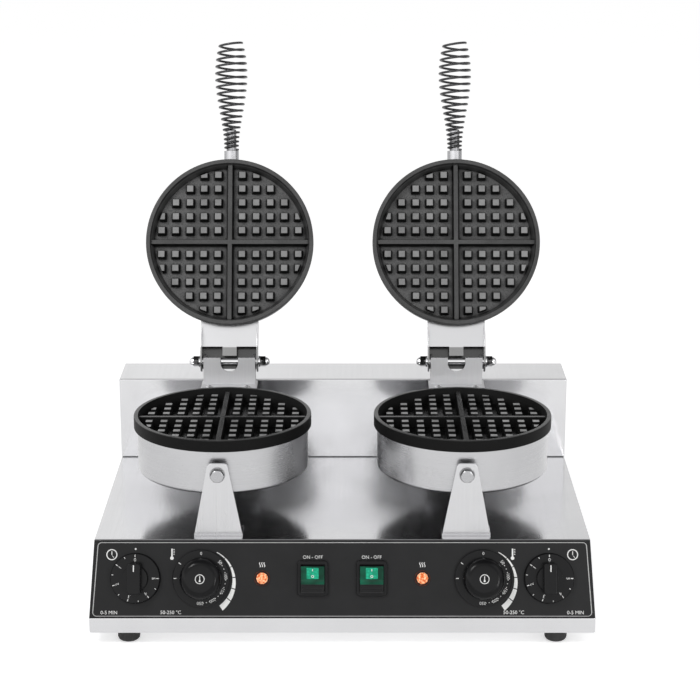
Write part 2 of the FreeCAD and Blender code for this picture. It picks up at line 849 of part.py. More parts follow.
def pin_half_length():
    return arm_width / 2 + nut_side_play + washer_thickness + nut_height


def hinge_pin(side):
    start = Vector(head_x(side) - pin_half_length(), pin_y, pin_z)
    return cylinder(pin_radius, start, X_AXIS, 2 * pin_half_length())


def acorn_nut():
    """A domed nut with a washer, seated on Z = 0, its blind bore open downwards."""
    washer = cylinder(nut_washer_radius, Vector(0, 0, 0), Z_AXIS, washer_thickness)
    hexed = moved(hexagon(nut_flats, nut_height), Z_AXIS * washer_thickness)
    crown = Part.makeSphere(nut_dome_radius, Vector(0, 0, washer_thickness + nut_height))
    bore = hole(pin_radius + fit_clearance, Vector(0, 0, 0), Z_AXIS, washer_thickness + nut_height)
    return joined([washer, hexed, crown]).cut(bore)


def hinge_nuts():
    solids = []
    for name, side in SIDES:
        for end in (-1, 1):
            x = head_x(side) + end * (arm_width / 2 + nut_side_play)
            solids.append(turned_to(acorn_nut(), Y_AXIS, end * 90.0, Vector(x, pin_y, pin_z)))
    return solids


def hinge_arm(side):
    """A folded channel on the pin: two flanges, a back wall, a tongued front strip and a shell saddle."""
    reach = pin_behind_head - shell_radius / 2
    shell_line = pin_behind_head - plate_radius
    back = pin_z + arm_end_radius
    strip = pin_z - arm_front
    half = arm_width / 2
    outline = [
        (pin_y + arm_tail, back), (pin_y + arm_tail, back - 2 * arm_sheet), (pin_y, pin_z),
        (pin_y, pin_z - arm_end_radius), (pin_y - arm_neck, pin_z - arm_end_radius),
        (pin_y - shell_line, strip), (pin_y - reach, strip), (pin_y - reach, back),
    ]
    flange_plate = prism_x(outline, 0, arm_sheet)
    flange_end = cylinder(arm_end_radius, Vector(0, pin_y, pin_z), X_AXIS, arm_sheet)
    flange_plate = joined([flange_plate, flange_end])
    wall = box(-half, half, pin_y - reach, pin_y + arm_tail, back - arm_sheet, back)
    front_strip = box(-half, half, pin_y - reach, pin_y - arm_window, strip, strip + arm_sheet)
    tongue = box(-tongue_width / 2, tongue_width / 2, pin_y - arm_window, pin_y - tongue_tip,
                 strip, strip + arm_sheet)
    pieces = [moved(flange_plate, X_AXIS * -half), moved(flange_plate, X_AXIS * (half - arm_sheet)),
              wall, front_strip, tongue]
    inner = shell_radius + seat_gap
    middle = Vector(0, head_from_front, strip)
    bore = cylinder(inner, middle - Z_AXIS * arm_end_radius, Z_AXIS, 4 * arm_end_radius)
    channel = joined(pieces).cut(bore)
    saddle = cylinder(inner + arm_sheet, middle, Z_AXIS, back - strip).cut(bore)
    saddle = saddle.common(box(-half, half, head_from_front, pin_y, strip, back))
    whole = moved(joined([channel, saddle]), X_AXIS * head_x(side))
    return whole.cut(pin_hole(side))


# Lids, closed, and their handles
def lid_place(shape, side):
    """Turns a piece of a head upside down and puts it on the closed lid's rim plane."""
    return turned_to(shape, X_AXIS, 180.0, Vector(head_x(side), head_from_front, lid_rim_level))


def handle_place(shape, side):
    """Puts a piece modelled along Z on the front of the lid's shell, drooping a little forwards."""
    place = Vector(head_x(side), head_from_front - shell_radius, lid_rim_level + handle_over_rim)
    return turned_to(shape, X_AXIS, 90.0 + handle_droop, place)


def upper_shell(side):
    cup = lid_place(shell_cup(lid_shell_height), side)
    stub_hole = hole(stub_radius + fit_clearance, Vector(0, 0, 0), Z_AXIS, 2 * stub_length)
    return cup.cut(handle_place(stub_hole, side))


def handle_rod(side):
    """A rod whose collar is shaped to the round wall of the shell it stands on."""
    stub = cylinder(stub_radius, Vector(0, 0, -stub_length), Z_AXIS, 2 * stub_length)
    collar = cylinder(collar_radius, Vector(0, 0, -collar_radius), Z_AXIS, collar_length + collar_radius)
    rod = cylinder(rod_radius, Vector(0, 0, collar_length), Z_AXIS, rod_in_coil)
    rod = rod.makeFillet(rod_rounding, edges_above(rod, collar_length + rod_in_coil / 2))
    foot = Vector(head_x(side), head_from_front, lid_rim_level)
    inside = cylinder(shell_radius + fit_clearance, foot, Z_AXIS, 2 * lid_shell_height)
    fitted = handle_place(collar, side).cut(inside)
    return joined([handle_place(stub, side), fitted, handle_place(rod, side)])


def coil_radius(height):
    """Radius of the wire's centre line: swelling from the collar to the widest turn, then closing in."""
    if height < coil_widest_at:
        share = 0.5 - 0.5 * math.cos(math.pi * height / coil_widest_at)
        outside = coil_base_diameter + (coil_widest_diameter - coil_base_diameter) * share
    else:
        share = ((height - coil_widest_at) / (coil_length - coil_widest_at)) ** 2
        outside = coil_widest_diameter + (coil_top_diameter - coil_widest_diameter) * share
    return (outside - coil_wire) / 2


def coil_pitch(height):
    share = min(1.0, height / coil_pitch_rise)
    return coil_base_pitch + (coil_top_pitch - coil_base_pitch) * share


def handle_spring(side):
    """A wire coil of half turns, each a half circle in a tilted plane that runs into the next."""
    height = coil_wire / 2
    turn = 1
    start = Vector(coil_radius(height), 0, height)
    halves = []
    while height + coil_pitch(height) / 2 < coil_length:
        height += coil_pitch(height) / 2
        end = Vector(-turn * coil_radius(height), 0, height)
        middle = (start + end) * 0.5
        outward = start - middle
        outward.normalize()
        axis = outward.cross(Y_AXIS) * turn
        disc = Part.Face(Part.Wire(Part.makeCircle(coil_wire / 2, start, Y_AXIS)))
        halves.append(disc.revolve(middle, axis, 180))
        start = end
        turn = -turn
    coil = halves[0].multiFuse(halves[1:])
    return handle_place(moved(coil, Z_AXIS * (collar_length + seat_gap)), side)


# Controls, modelled about Z with the sheet's outer face at Z = 0
def knob_base():
    return panel_thickness + knob_gap


def knob_bores():
    recess = cylinder(knob_recess_radius, Vector(0, 0, 0), Z_AXIS, panel_thickness + bush_height + knob_gap)
    shaft_hole = cylinder(shaft_radius + fit_clearance, Vector(0, 0, 0), Z_AXIS, shaft_top() + knob_gap)
    return [recess, shaft_hole]


def shaft_bottom():
    return -sheet - shaft_length / 3


def shaft_top():
    return shaft_bottom() + shaft_length


def control_shaft(x):
    return on_panel(cylinder(shaft_radius, Vector(0, 0, shaft_bottom()), Z_AXIS, shaft_length), x)


def timer_knob(side):
    low = knob_base()
    foot = Vector(0, 0, low)
    skirt_top = timer_skirt_radius - knob_draft
    boss_top = timer_boss_radius - knob_draft
    skirt = Part.makeCone(timer_skirt_radius, skirt_top, timer_skirt_height, foot, Z_AXIS)
    boss = Part.makeCone(timer_boss_radius, boss_top, timer_boss_height, foot, Z_AXIS)
    bar = rounded_block(timer_bar_width, timer_bar_length, timer_bar_corner, low, low + timer_bar_height)
    bar = bar.makeFillet(timer_bar_rounding, edges_above(bar, low + timer_bar_height / 2))
    return on_panel(cut_all(joined([skirt, boss, bar]), knob_bores()), side * timer_x)


def thermostat_knob(side):
    low = knob_base()
    skirt = cylinder(thermostat_skirt_radius, Vector(0, 0, low), Z_AXIS, thermostat_skirt_height)
    dome = cylinder(thermostat_dome_radius, Vector(0, 0, low), Z_AXIS, thermostat_dome_height)
    dome = dome.makeFillet(thermostat_dome_rounding, edges_above(dome, low + thermostat_dome_height / 2))
    return on_panel(cut_all(joined([skirt, dome]), knob_bores()), side * thermostat_x)


def control_body(width, height, depth, x):
    """A switch body behind the panel with a bush through it for the shaft."""
    block = rounded_block(width, height, control_corner, -sheet - depth, -sheet)
    bush = cylinder(bush_radius, Vector(0, 0, -sheet), Z_AXIS, sheet + panel_thickness + bush_height)
    bore_end = Vector(0, 0, shaft_bottom() - knob_gap)
    bore = cylinder(shaft_radius + fit_clearance, bore_end, Z_AXIS, shaft_length)
    return on_panel(joined([block, bush]).cut(bore), x)


def lamp_body(side):
    low = panel_thickness
    bezel = cylinder(lamp_bezel_radius, Vector(0, 0, low), Z_AXIS, lamp_bezel_height)
    bezel = bezel.makeFillet(lamp_bezel_rounding, edges_above(bezel, low + lamp_bezel_height / 2))
    tube = cylinder(lamp_tube_radius, Vector(0, 0, low - lamp_tube_depth), Z_AXIS, lamp_tube_depth)
    seat_floor = Vector(0, 0, low + lamp_bezel_height / 2)
    seat = cylinder(lamp_lens_radius + fit_clearance, seat_floor, Z_AXIS, lamp_bezel_height)
    return on_panel(joined([bezel, tube]).cut(seat), side * lamp_x)


def lamp_lens(side):
    low = panel_thickness + lamp_bezel_height / 2
    top = panel_thickness + lamp_bezel_height
    ball = (lamp_lens_radius ** 2 + lamp_lens_rise ** 2) / (2 * lamp_lens_rise)
    dome = Part.makeSphere(ball, Vector(0, 0, top + lamp_lens_rise - ball))
    cap = dome.common(cylinder(lamp_lens_radius, Vector(0, 0, top), Z_AXIS, 2 * ball))
    disc = cylinder(lamp_lens_radius, Vector(0, 0, low), Z_AXIS, top - low)
    return on_panel(joined([disc, cap]), side * lamp_x)


def switch_body_block(extra, z_low, z_high):
    half_width = rocker_width / 2 + rocker_gap + switch_wall + extra
    half_height = rocker_height / 2 + rocker_gap + switch_wall + extra
    return box(-half_width, half_width, -half_height, half_height, z_low, z_high)


def rocker_pivot():
    return panel_thickness + switch_frame_height / 4


def switch_housing(side):
    frame_top = panel_thickness + switch_frame_height
    frame = rounded_block(switch_width, switch_height, switch_corner, panel_thickness, frame_top)
    frame = frame.makeFillet(switch_rounding, edges_above(frame, (panel_thickness + frame_top) / 2))
    body = switch_body_block(0.0, -switch_body_depth, panel_thickness)
    pocket_low = rocker_pivot() - rocker_drop - 2 * rocker_height * math.sin(math.radians(rocker_tilt))
    half_width = rocker_width / 2 + rocker_gap
    half_height = rocker_height / 2 + rocker_gap
    pocket = box(-half_width, half_width, -half_height, half_height, pocket_low, 2 * frame_top)
    reach = half_width + trunnion_length
    axle_hole = hole(trunnion_radius + fit_clearance, Vector(0, 0, rocker_pivot()), X_AXIS, reach)
    return on_panel(cut_all(joined([frame, body]), [pocket, axle_hole]), side * switch_x)


def switch_rocker(side):
    """A dished rocker on two trunnions, its upper half standing proud."""
    pivot = rocker_pivot()
    top = panel_thickness + switch_frame_height + rocker_proud
    end = rocker_height / 2
    root = rocker_root_height / 2
    dish = end * math.tan(math.radians(rocker_tilt))
    low = pivot - rocker_drop
    outline = [(-root, low), (root, low), (end, top), (0, top - dish), (-end, top)]
    key = prism_x(outline, -rocker_width / 2, rocker_width / 2)
    half = rocker_width / 2 + trunnion_length
    axle = cylinder(trunnion_radius, Vector(-half, 0, pivot), X_AXIS, 2 * half)
    rocker = joined([key, axle])
    rocker.rotate(Vector(0, 0, pivot), X_AXIS, rocker_tilt)
    return on_panel(rocker, side * switch_x)


# Every node, at rest
def fixed_nodes():
    nodes = {
        "base_chassis": [base_chassis()],
        "bottom_plate": [bottom_plate()],
        "rear_housing": [rear_housing()],
        "rear_cover": [rear_cover()],
        "control_panel": [control_panel()],
        "feet": feet(),
        "foot_screws": foot_screws(),
        "case_screws": case_screws(),
        "cable_gland": [cable_gland()],
        "terminal_block": [terminal_block()],
        "shell_bolts": shell_bolts(),
        "shell_spacers": shell_spacers(),
        "bracket_bolts": bracket_bolts(),
        "bracket_nuts": bracket_nuts(),
        "hinge_nuts": hinge_nuts(),
        "front_brackets": [front_bracket(side) for name, side in SIDES],
        "rear_brackets": [rear_bracket(side) for name, side in SIDES],
        "thermostat_bulbs": [thermostat_bulb(side) for name, side in SIDES],
        "lamp_bodies": [lamp_body(side) for name, side in SIDES],
        "lamp_lenses": [lamp_lens(side) for name, side in SIDES],
        "lower_heaters": [moved(heater(), lower_place(side)) for name, side in SIDES],
        "lower_insulation": [moved(insulation(shell_height), lower_place(side)) for name, side in SIDES],
    }
    plate = grid_plate()
    for name, side in SIDES:
        nodes["lower_plate_" + name] = [moved(plate, lower_place(side))]
        nodes["lower_shell_" + name] = [lower_shell(side)]
        nodes["hinge_bracket_" + name] = [hinge_bracket(side)]
        nodes["hinge_pin_" + name] = [hinge_pin(side)]
        nodes["timer_body_" + name] = [control_body(timer_box, timer_box, timer_box_depth, side * timer_x)]
        nodes["thermostat_body_" + name] = [control_body(thermostat_box_width, thermostat_box_height,
                                                         thermostat_box_depth, side * thermostat_x)]
        nodes["switch_housing_" + name] = [switch_housing(side)]
    return nodes


def control_nodes():
    nodes = {}
    for name, side in SIDES:
        nodes["timer_knob_" + name] = [timer_knob(side)]
        nodes["timer_shaft_" + name] = [control_shaft(side * timer_x)]
        nodes["thermostat_knob_" + name] = [thermostat_knob(side)]
        nodes["thermostat_shaft_" + name] = [control_shaft(side * thermostat_x)]
        nodes["switch_rocker_" + name] = [switch_rocker(side)]
    return nodes


def lid_nodes():
    """The lids' pieces, swung open about the hinge pins."""
    plate = grid_plate()
    nodes = {}
    for name, side in SIDES:
        nodes["upper_plate_" + name] = [lid_place(plate, side)]
        nodes["upper_shell_" + name] = [upper_shell(side)]
        nodes["upper_heater_" + name] = [lid_place(heater(), side)]
        nodes["upper_insulation_" + name] = [lid_place(insulation(lid_shell_height), side)]
        nodes["hinge_arm_" + name] = [hinge_arm(side)]
        nodes["handle_rod_" + name] = [handle_rod(side)]
        nodes["handle_spring_" + name] = [handle_spring(side)]
    for solids in nodes.values():
        for solid in solids:
            solid.rotate(Vector(0, pin_y, pin_z), X_AXIS, -lid_open)
    return nodes


def all_nodes():
    """Every node, with the origin on the floor under the middle of the whole."""
    nodes = {**fixed_nodes(), **control_nodes(), **lid_nodes()}
    whole = Part.makeCompound([solid for solids in nodes.values() for solid in solids])
    middle = whole.BoundBox.Center.y
    for solids in nodes.values():
        for solid in solids:
            solid.translate(Vector(0, -middle, 0))
    return nodes, middle


def main():
    os.makedirs("parts", exist_ok=True)
    nodes, middle = all_nodes()
    for name, solids in nodes.items():
        shape = solids[0] if len(solids) == 1 else Part.makeCompound(solids)
        shape.exportStep("parts/" + name + ".step")
    print(len(nodes), "nodes, origin", round(middle, 3), "mm behind the base's front edge")


main()
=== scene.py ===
# Looks of a twin round waffle baker, dressed over its solids. Metres, +X right, +Y to the rear, +Z up.
import json
import math

import bmesh
import bpy
from mathutils import Matrix, Vector


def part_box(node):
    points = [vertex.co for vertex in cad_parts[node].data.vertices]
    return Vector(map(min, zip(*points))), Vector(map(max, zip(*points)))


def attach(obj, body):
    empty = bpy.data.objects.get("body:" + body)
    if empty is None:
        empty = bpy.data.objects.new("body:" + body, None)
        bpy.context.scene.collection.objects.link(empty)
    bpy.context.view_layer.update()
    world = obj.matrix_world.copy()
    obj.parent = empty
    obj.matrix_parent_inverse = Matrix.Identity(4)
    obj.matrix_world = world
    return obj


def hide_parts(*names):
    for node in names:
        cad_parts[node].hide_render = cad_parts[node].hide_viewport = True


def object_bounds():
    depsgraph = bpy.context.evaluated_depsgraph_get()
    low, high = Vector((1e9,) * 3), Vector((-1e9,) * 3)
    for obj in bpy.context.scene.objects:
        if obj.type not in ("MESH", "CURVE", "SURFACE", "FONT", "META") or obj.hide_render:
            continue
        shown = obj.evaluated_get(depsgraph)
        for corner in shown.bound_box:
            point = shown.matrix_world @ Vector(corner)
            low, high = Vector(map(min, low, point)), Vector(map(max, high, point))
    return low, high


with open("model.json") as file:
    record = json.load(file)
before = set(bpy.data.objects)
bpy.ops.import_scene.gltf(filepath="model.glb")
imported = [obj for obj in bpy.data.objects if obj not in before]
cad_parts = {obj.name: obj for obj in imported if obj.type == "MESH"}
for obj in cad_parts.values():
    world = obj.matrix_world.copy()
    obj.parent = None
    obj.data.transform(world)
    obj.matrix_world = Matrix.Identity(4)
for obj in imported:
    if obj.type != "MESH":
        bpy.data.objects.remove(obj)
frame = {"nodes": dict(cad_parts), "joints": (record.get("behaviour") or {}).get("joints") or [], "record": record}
cad_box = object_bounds()
nodes = frame["nodes"]
record = frame["record"]
joints = {joint["name"]: joint for joint in frame["joints"]}
body_of = {node: body for body, members in record["behaviour"]["bodies"].items() for node in members}
slot_of = {row["node"]: row["material_slot"] for row in record["subparts"]}
SIDES = (("left", -1), ("right", 1))

# Sizes in millimetres, turned into metres where they are used
MM = 0.001
panel_thickness = 1.0
panel_half_width = 274.4
panel_top_half_width = 269.4
panel_low = -43.4
panel_high = 41.4
print_thickness = 0.1
border_inset = 3.4
border_width = 0.9
border_corner = 4.6
knob_foot = 1.8
timer_skirt_height = 5.0
timer_bar_height = 21.0
timer_bar_length = 34.5
thermostat_skirt_height = 4.0
thermostat_dome_height = 23.0
thermostat_skirt_radius = 31.0
thermostat_dome_radius = 22.5
skirt_edge = 0.5
dome_rounding = 8.5
knob_recess_radius = 9.0
knob_recess_top = 5.8
lamp_from_middle = 87.0
lamp_lens_radius = 6.4
lamp_lens_base = 2.1
lamp_lens_rim = 3.2
lamp_lens_top = 6.4
lamp_collar_width = 2.0
rocker_tilt_deg = 8.0
rocker_half_height = 14.5
rocker_end_rise = 8.875
rocker_middle_rise = 6.84
cap_skin = 0.55
cap_end = -5.4
cap_foot = 4.6
cap_foot_end = 13.3
cap_top_end = 14.75
cap_half_width = 12.7
cap_window_up = 6.8
step_half_width = 11.8
step_foot = 5.0
recess_skin = 0.16
lid_gap = 0.4
merge_distance = 0.002

# Share of a screw's length within which its head lies
head_share = 0.35

# Print: places are counted from the middle of the control that they belong to
panel_word_height = 3.8
switch_word_height = 3.6
switch_word_up = 22.6
timer_word_aside = 28.5
timer_word_up = -37.2
heat_word_aside = 33.0
heat_word_up = -37.0
clock_aside = 25.8
clock_up = 25.5
thermometer_aside = 32.0
thermometer_up = 26.0
heat_waves_up = 14.6
pointer_dot_radius = 1.0
pointer_dot_up = 31.6
pointer_line_length = 7.0
pointer_line_inset = 2.4
timer_step_deg = 54.0
timer_mark_radius = 24.4
timer_half_mark_radius = 24.8
timer_number_height = 3.6
timer_number_radius = 20.0
heat_number_height = 3.3
heat_number_radius = 26.7
off_mark_radius = 28.2
heat_scale_start_deg = 60.0
heat_scale_sweep_deg = 117.0

# Zones where a finish or its painted sheen and shade change, in millimetres over a plane: a casting's rim,
# a shell's foot, a lid's rim for the arm's channel, and the hinge pin for the arm's tongue
peg_top_zone = (-6.2, -5.2)
over_pegs_zone = (-4.9, -4.6)
shell_foot_zone = (0.5, 2.5)
arm_channel_zone = (-24.0, -20.0)
arm_tongue_zone = (16.0, 17.0)
# Near black: painted shade in the iron plates' corners and on their steep faces
PAINTED_SHADE_BLACK = (0.002, 0.002, 0.002)

# Room: half the floor's width in metres, and how bright floor and air are
floor_half_width = 14.0
floor_lift = 0.52
room_light = 0.55

# Camera of the photograph, fitted to points measured in it, in metres and degrees.
# Its distance is counted from the line of the controls.
camera_x = 0.00841
camera_before_controls = 2.01391
camera_height = 0.91085
camera_pitch_deg = 16.06
camera_lens_mm = 102.61
sensor_mm = 36.0


# Node helpers
def node(tree, kind, settings, values):
    """Adds a node with its settings; a value is a number or a socket to link."""
    made = tree.nodes.new(kind)
    for name, value in settings.items():
        setattr(made, name, value)
    for name, value in values.items():
        if isinstance(value, bpy.types.NodeSocket):
            tree.links.new(value, made.inputs[name])
        else:
            made.inputs[name].default_value = value
    return made


def group_tree(kind, name, inputs, outputs):
    """An empty node group with named sockets, given as (name, socket type, default)."""
    tree = bpy.data.node_groups.new(name, kind)
    for label, socket, default in inputs:
        made = tree.interface.new_socket(label, in_out="INPUT", socket_type=socket)
        if default is not None:
            made.default_value = default
    for label, socket in outputs:
        tree.interface.new_socket(label, in_out="OUTPUT", socket_type=socket)
    return tree, tree.nodes.new("NodeGroupInput"), tree.nodes.new("NodeGroupOutput")


def math_node(tree, operation, first, second=0.0):
    return node(tree, "ShaderNodeMath", {"operation": operation}, {0: first, 1: second}).outputs[0]


def spread(tree, value, low, high, to_low, to_high):
    """Maps a value from one range to another and keeps it inside."""
    return node(tree, "ShaderNodeMapRange", {}, {
        "Value": value, "From Min": low, "From Max": high, "To Min": to_low, "To Max": to_high}).outputs[0]


def blended(tree, share, first, second):
    made = node(tree, "ShaderNodeMix", {"data_type": "RGBA"}, {"Factor": share})
    for socket, value in ((made.inputs[6], first), (made.inputs[7], second)):
        if isinstance(value, bpy.types.NodeSocket):
            tree.links.new(value, socket)
        else:
            socket.default_value = (*value, 1.0)
    return made.outputs[2]


# Effects that several finishes share
def brushed_grain_group():
    """Long thin scratches along the least stretched axis, and wide hand smudges."""
    tree, given, result = group_tree(
        "ShaderNodeTree", "brushed grain",
        [("Stretch", "NodeSocketVector", (10.0, 900.0, 900.0)), ("Smudge Size", "NodeSocketFloat", 12.0)],
        [("Grain", "NodeSocketFloat"), ("Smudge", "NodeSocketFloat")])
    place = node(tree, "ShaderNodeTexCoord", {}, {}).outputs["Object"]
    along = node(tree, "ShaderNodeVectorMath", {"operation": "MULTIPLY"}, {
        0: place, 1: given.outputs["Stretch"]})
    scratches = node(tree, "ShaderNodeTexNoise", {}, {
        "Vector": along.outputs[0], "Scale": 1.0, "Detail": 5.0, "Roughness": 0.62})
    cloud = node(tree, "ShaderNodeTexNoise", {}, {
        "Vector": place, "Scale": given.outputs["Smudge Size"], "Detail": 4.0, "Roughness": 0.55,
        "Distortion": 0.6})
    tree.links.new(spread(tree, scratches.outputs[0], 0.3, 0.7, 0.0, 1.0), result.inputs["Grain"])
    tree.links.new(spread(tree, cloud.outputs[0], 0.35, 0.68, 0.0, 1.0), result.inputs["Smudge"])
    return tree


def speckle_group():
    """Fine pores and slow patches of a cast or moulded surface."""
    tree, given, result = group_tree(
        "ShaderNodeTree", "speckle",
        [("Pore Size", "NodeSocketFloat", 900.0), ("Patch Size", "NodeSocketFloat", 25.0)],
        [("Pores", "NodeSocketFloat"), ("Patches", "NodeSocketFloat")])
    place = node(tree, "ShaderNodeTexCoord", {}, {}).outputs["Object"]
    pores = node(tree, "ShaderNodeTexNoise", {}, {
        "Vector": place, "Scale": given.outputs["Pore Size"], "Detail": 3.0, "Roughness": 0.6})
    patches = node(tree, "ShaderNodeTexNoise", {}, {
        "Vector": place, "Scale": given.outputs["Patch Size"], "Detail": 4.0, "Roughness": 0.6})
    tree.links.new(spread(tree, pores.outputs[0], 0.3, 0.7, 0.0, 1.0), result.inputs["Pores"])
    tree.links.new(spread(tree, patches.outputs[0], 0.3, 0.7, 0.0, 1.0), result.inputs["Patches"])
    return tree


def level_group():
    """Height in millimetres over a plane given by a point and its normal."""
    tree, given, result = group_tree(
        "ShaderNodeTree", "level over a plane",
        [("Point", "NodeSocketVector", None), ("Normal", "NodeSocketVector", None)],
        [("Level", "NodeSocketFloat")])
    place = node(tree, "ShaderNodeTexCoord", {}, {}).outputs["Object"]
    away = node(tree, "ShaderNodeVectorMath", {"operation": "SUBTRACT"}, {
        0: place, 1: given.outputs["Point"]})
    rise = node(tree, "ShaderNodeVectorMath", {"operation": "DOT_PRODUCT"}, {
        0: away.outputs[0], 1: given.outputs["Normal"]})
    tree.links.new(math_node(tree, "MULTIPLY", rise.outputs["Value"], 1.0 / MM), result.inputs["Level"])
    return tree


brushed_grain = brushed_grain_group()
speckle = speckle_group()
level_over_plane = level_group()


# Finishes
def finish_material(name):
    material = bpy.data.materials.new(name)
    material.use_nodes = True
    return material, material.node_tree, material.node_tree.nodes["Principled BSDF"]


def placed(tree, group, values):
    return node(tree, "ShaderNodeGroup", {"node_tree": group}, values)


def bump(tree, shader, height, depth_mm, worn_edge_mm=0.0):
    made = node(tree, "ShaderNodeBump", {}, {"Strength": 1.0, "Distance": depth_mm * MM, "Height": height})
    if worn_edge_mm:
        edge = node(tree, "ShaderNodeBevel", {"samples": 6}, {"Radius": worn_edge_mm * MM})
        tree.links.new(edge.outputs[0], made.inputs["Normal"])
    tree.links.new(made.outputs[0], shader.inputs["Normal"])


def steel(name, color, stretch, roughness, blur, scratch_depth_mm, anisotropy=0.0):
    """Stainless sheet: roughness follows scratches and smudges, and the tone shifts a little with both."""
    material, tree, shader = finish_material(name)
    grain = placed(tree, brushed_grain, {"Stretch": stretch, "Smudge Size": 11.0})
    tone = math_node(tree, "ADD", math_node(tree, "MULTIPLY", grain.outputs["Grain"], 0.5),
                     math_node(tree, "MULTIPLY", grain.outputs["Smudge"], 0.5))
    dark = tuple(0.92 * c for c in color)
    tree.links.new(blended(tree, tone, color, dark), shader.inputs["Base Color"])
    tree.links.new(spread(tree, tone, 0.0, 1.0, roughness, roughness + blur), shader.inputs["Roughness"])
    shader.inputs["Metallic"].default_value = 1.0
    shader.inputs["Anisotropic"].default_value = anisotropy
    if scratch_depth_mm:
        bump(tree, shader, grain.outputs["Grain"], scratch_depth_mm)
    return material


def darkened_corners(material, reach_mm, dark):
    """The same finish with painted shade in its inner corners."""
    tree = material.node_tree
    color = tree.nodes["Principled BSDF"].inputs["Base Color"]
    corner = node(tree, "ShaderNodeAmbientOcclusion", {"samples": 6}, {"Distance": reach_mm * MM})
    unshaded = spread(tree, corner.outputs["AO"], 0.45, 0.9, 0.0, 1.0)
    tree.links.new(blended(tree, unshaded, (dark,) * 3, color.links[0].from_socket), color)
    return material


def moulded(name, color, roughness, blur, pore_depth_mm, gloss=0.5):
    """Plastic, rubber or paint: even colour with slow patches and a fine skin texture."""
    material, tree, shader = finish_material(name)
    skin = placed(tree, speckle, {"Pore Size": 1400.0, "Patch Size": 30.0})
    light = tuple(1.25 * c + 0.002 for c in color)
    tree.links.new(blended(tree, skin.outputs["Patches"], color, light), shader.inputs["Base Color"])
    tree.links.new(spread(tree, skin.outputs["Patches"], 0.0, 1.0, roughness, roughness + blur),
                   shader.inputs["Roughness"])
    shader.inputs["Specular IOR Level"].default_value = gloss
    if pore_depth_mm:
        bump(tree, shader, skin.outputs["Pores"], pore_depth_mm)
    return material


def grid_iron(name, rim_point, rim_normal, floor_tone, top_sheen_tone, rim_tone, roughness, gloss,
              shade_reach_mm, unshaded_slope):
    """Baked coat on a casting, with painted light: peg and rib tops lighter as a painted sheen,
    the rim a dark grey, and near-black painted shade in corners and on faces that lean away.

    A face takes the painted shade below the first value of the unshaded slope and is free of it above the second.
    At 1 it faces as the rim does.
    """
    material, tree, shader = finish_material(name)
    skin = placed(tree, speckle, {"Pore Size": 700.0, "Patch Size": 22.0})
    level = placed(tree, level_over_plane, {"Point": rim_point, "Normal": rim_normal}).outputs[0]
    top = spread(tree, level, *peg_top_zone, 0.0, 1.0)
    above_pegs = spread(tree, level, *over_pegs_zone, 0.0, 1.0)
    # Painted shade: faces that lean away from the rim's way, and corners found by ambient occlusion, go near black
    facing = node(tree, "ShaderNodeTexCoord", {}, {}).outputs["Normal"]
    flat = node(tree, "ShaderNodeVectorMath", {"operation": "DOT_PRODUCT"}, {0: facing, 1: rim_normal})
    flat = spread(tree, flat.outputs["Value"], *unshaded_slope, 0.0, 1.0)
    corner = node(tree, "ShaderNodeAmbientOcclusion", {"samples": 6, "only_local": True}, {
        "Distance": shade_reach_mm * MM})
    unshaded = math_node(tree, "MULTIPLY", flat, spread(tree, corner.outputs["AO"], 0.6, 0.82, 0.0, 1.0))
    # Random patches: they vary the floor's tone and the strength of the painted sheen on the tops
    wear_and_sheen_patches = spread(tree, skin.outputs["Patches"], 0.1, 0.8, 0.5, 1.0)
    grain = blended(tree, math_node(tree, "MULTIPLY", skin.outputs["Pores"], wear_and_sheen_patches),
                    (floor_tone * 0.6,) * 3, (floor_tone * 1.3,) * 3)
    # Painted sheen: peg and rib tops take a lighter tone; the rim keeps its own dark grey
    top_sheen_or_rim = blended(tree, above_pegs, (top_sheen_tone,) * 3, (rim_tone,) * 3)
    floor_with_top_sheen = blended(tree, math_node(tree, "MULTIPLY", top, wear_and_sheen_patches), grain, top_sheen_or_rim)
    tree.links.new(blended(tree, unshaded, PAINTED_SHADE_BLACK, floor_with_top_sheen), shader.inputs["Base Color"])
    satin = spread(tree, skin.outputs["Pores"], 0.0, 1.0, roughness, roughness + 0.16)
    matte_in_shade = spread(tree, unshaded, 0.0, 1.0, 0.6, 0.0)
    tree.links.new(math_node(tree, "MAXIMUM", satin, matte_in_shade), shader.inputs["Roughness"])
    shader.inputs["Specular IOR Level"].default_value = gloss
    bump(tree, shader, skin.outputs["Pores"], 0.05, 0.8)
    return material


def lit_lens(name, deep, bright, glow, cell_mm):
    """Tinted plastic lit from behind: bright cells with darker edges, under a glossy skin."""
    material, tree, shader = finish_material(name)
    place = node(tree, "ShaderNodeTexCoord", {}, {}).outputs["Object"]
    cells = node(tree, "ShaderNodeTexVoronoi", {}, {"Vector": place, "Scale": 1.0 / (cell_mm * MM)})
    share = spread(tree, cells.outputs["Distance"], 0.1, 0.75, 1.0, 0.0)
    color = blended(tree, share, deep, bright)
    tree.links.new(color, shader.inputs["Base Color"])
    tree.links.new(color, shader.inputs["Emission Color"])
    shader.inputs["Emission Strength"].default_value = glow
    tree.links.new(spread(tree, share, 0.0, 1.0, 0.12, 0.25), shader.inputs["Roughness"])
    shader.inputs["Specular IOR Level"].default_value = 0.15
    return material


def lid_rim_plane():
    """A point on the open lids' rim plane and the way their plates face."""
    hinge = joints["lid_hinge_left"]
    swing = Matrix.Rotation(-math.radians(hinge["range_deg"][1]), 3, "X")
    pin = Vector(hinge["pos_m"])
    lower_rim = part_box("lower_plate_left")[1].z
    closed_point = Vector((pin.x, pin.y, lower_rim + lid_gap * MM))
    return pin + swing @ (closed_point - pin), swing @ Vector((0.0, 0.0, -1.0))


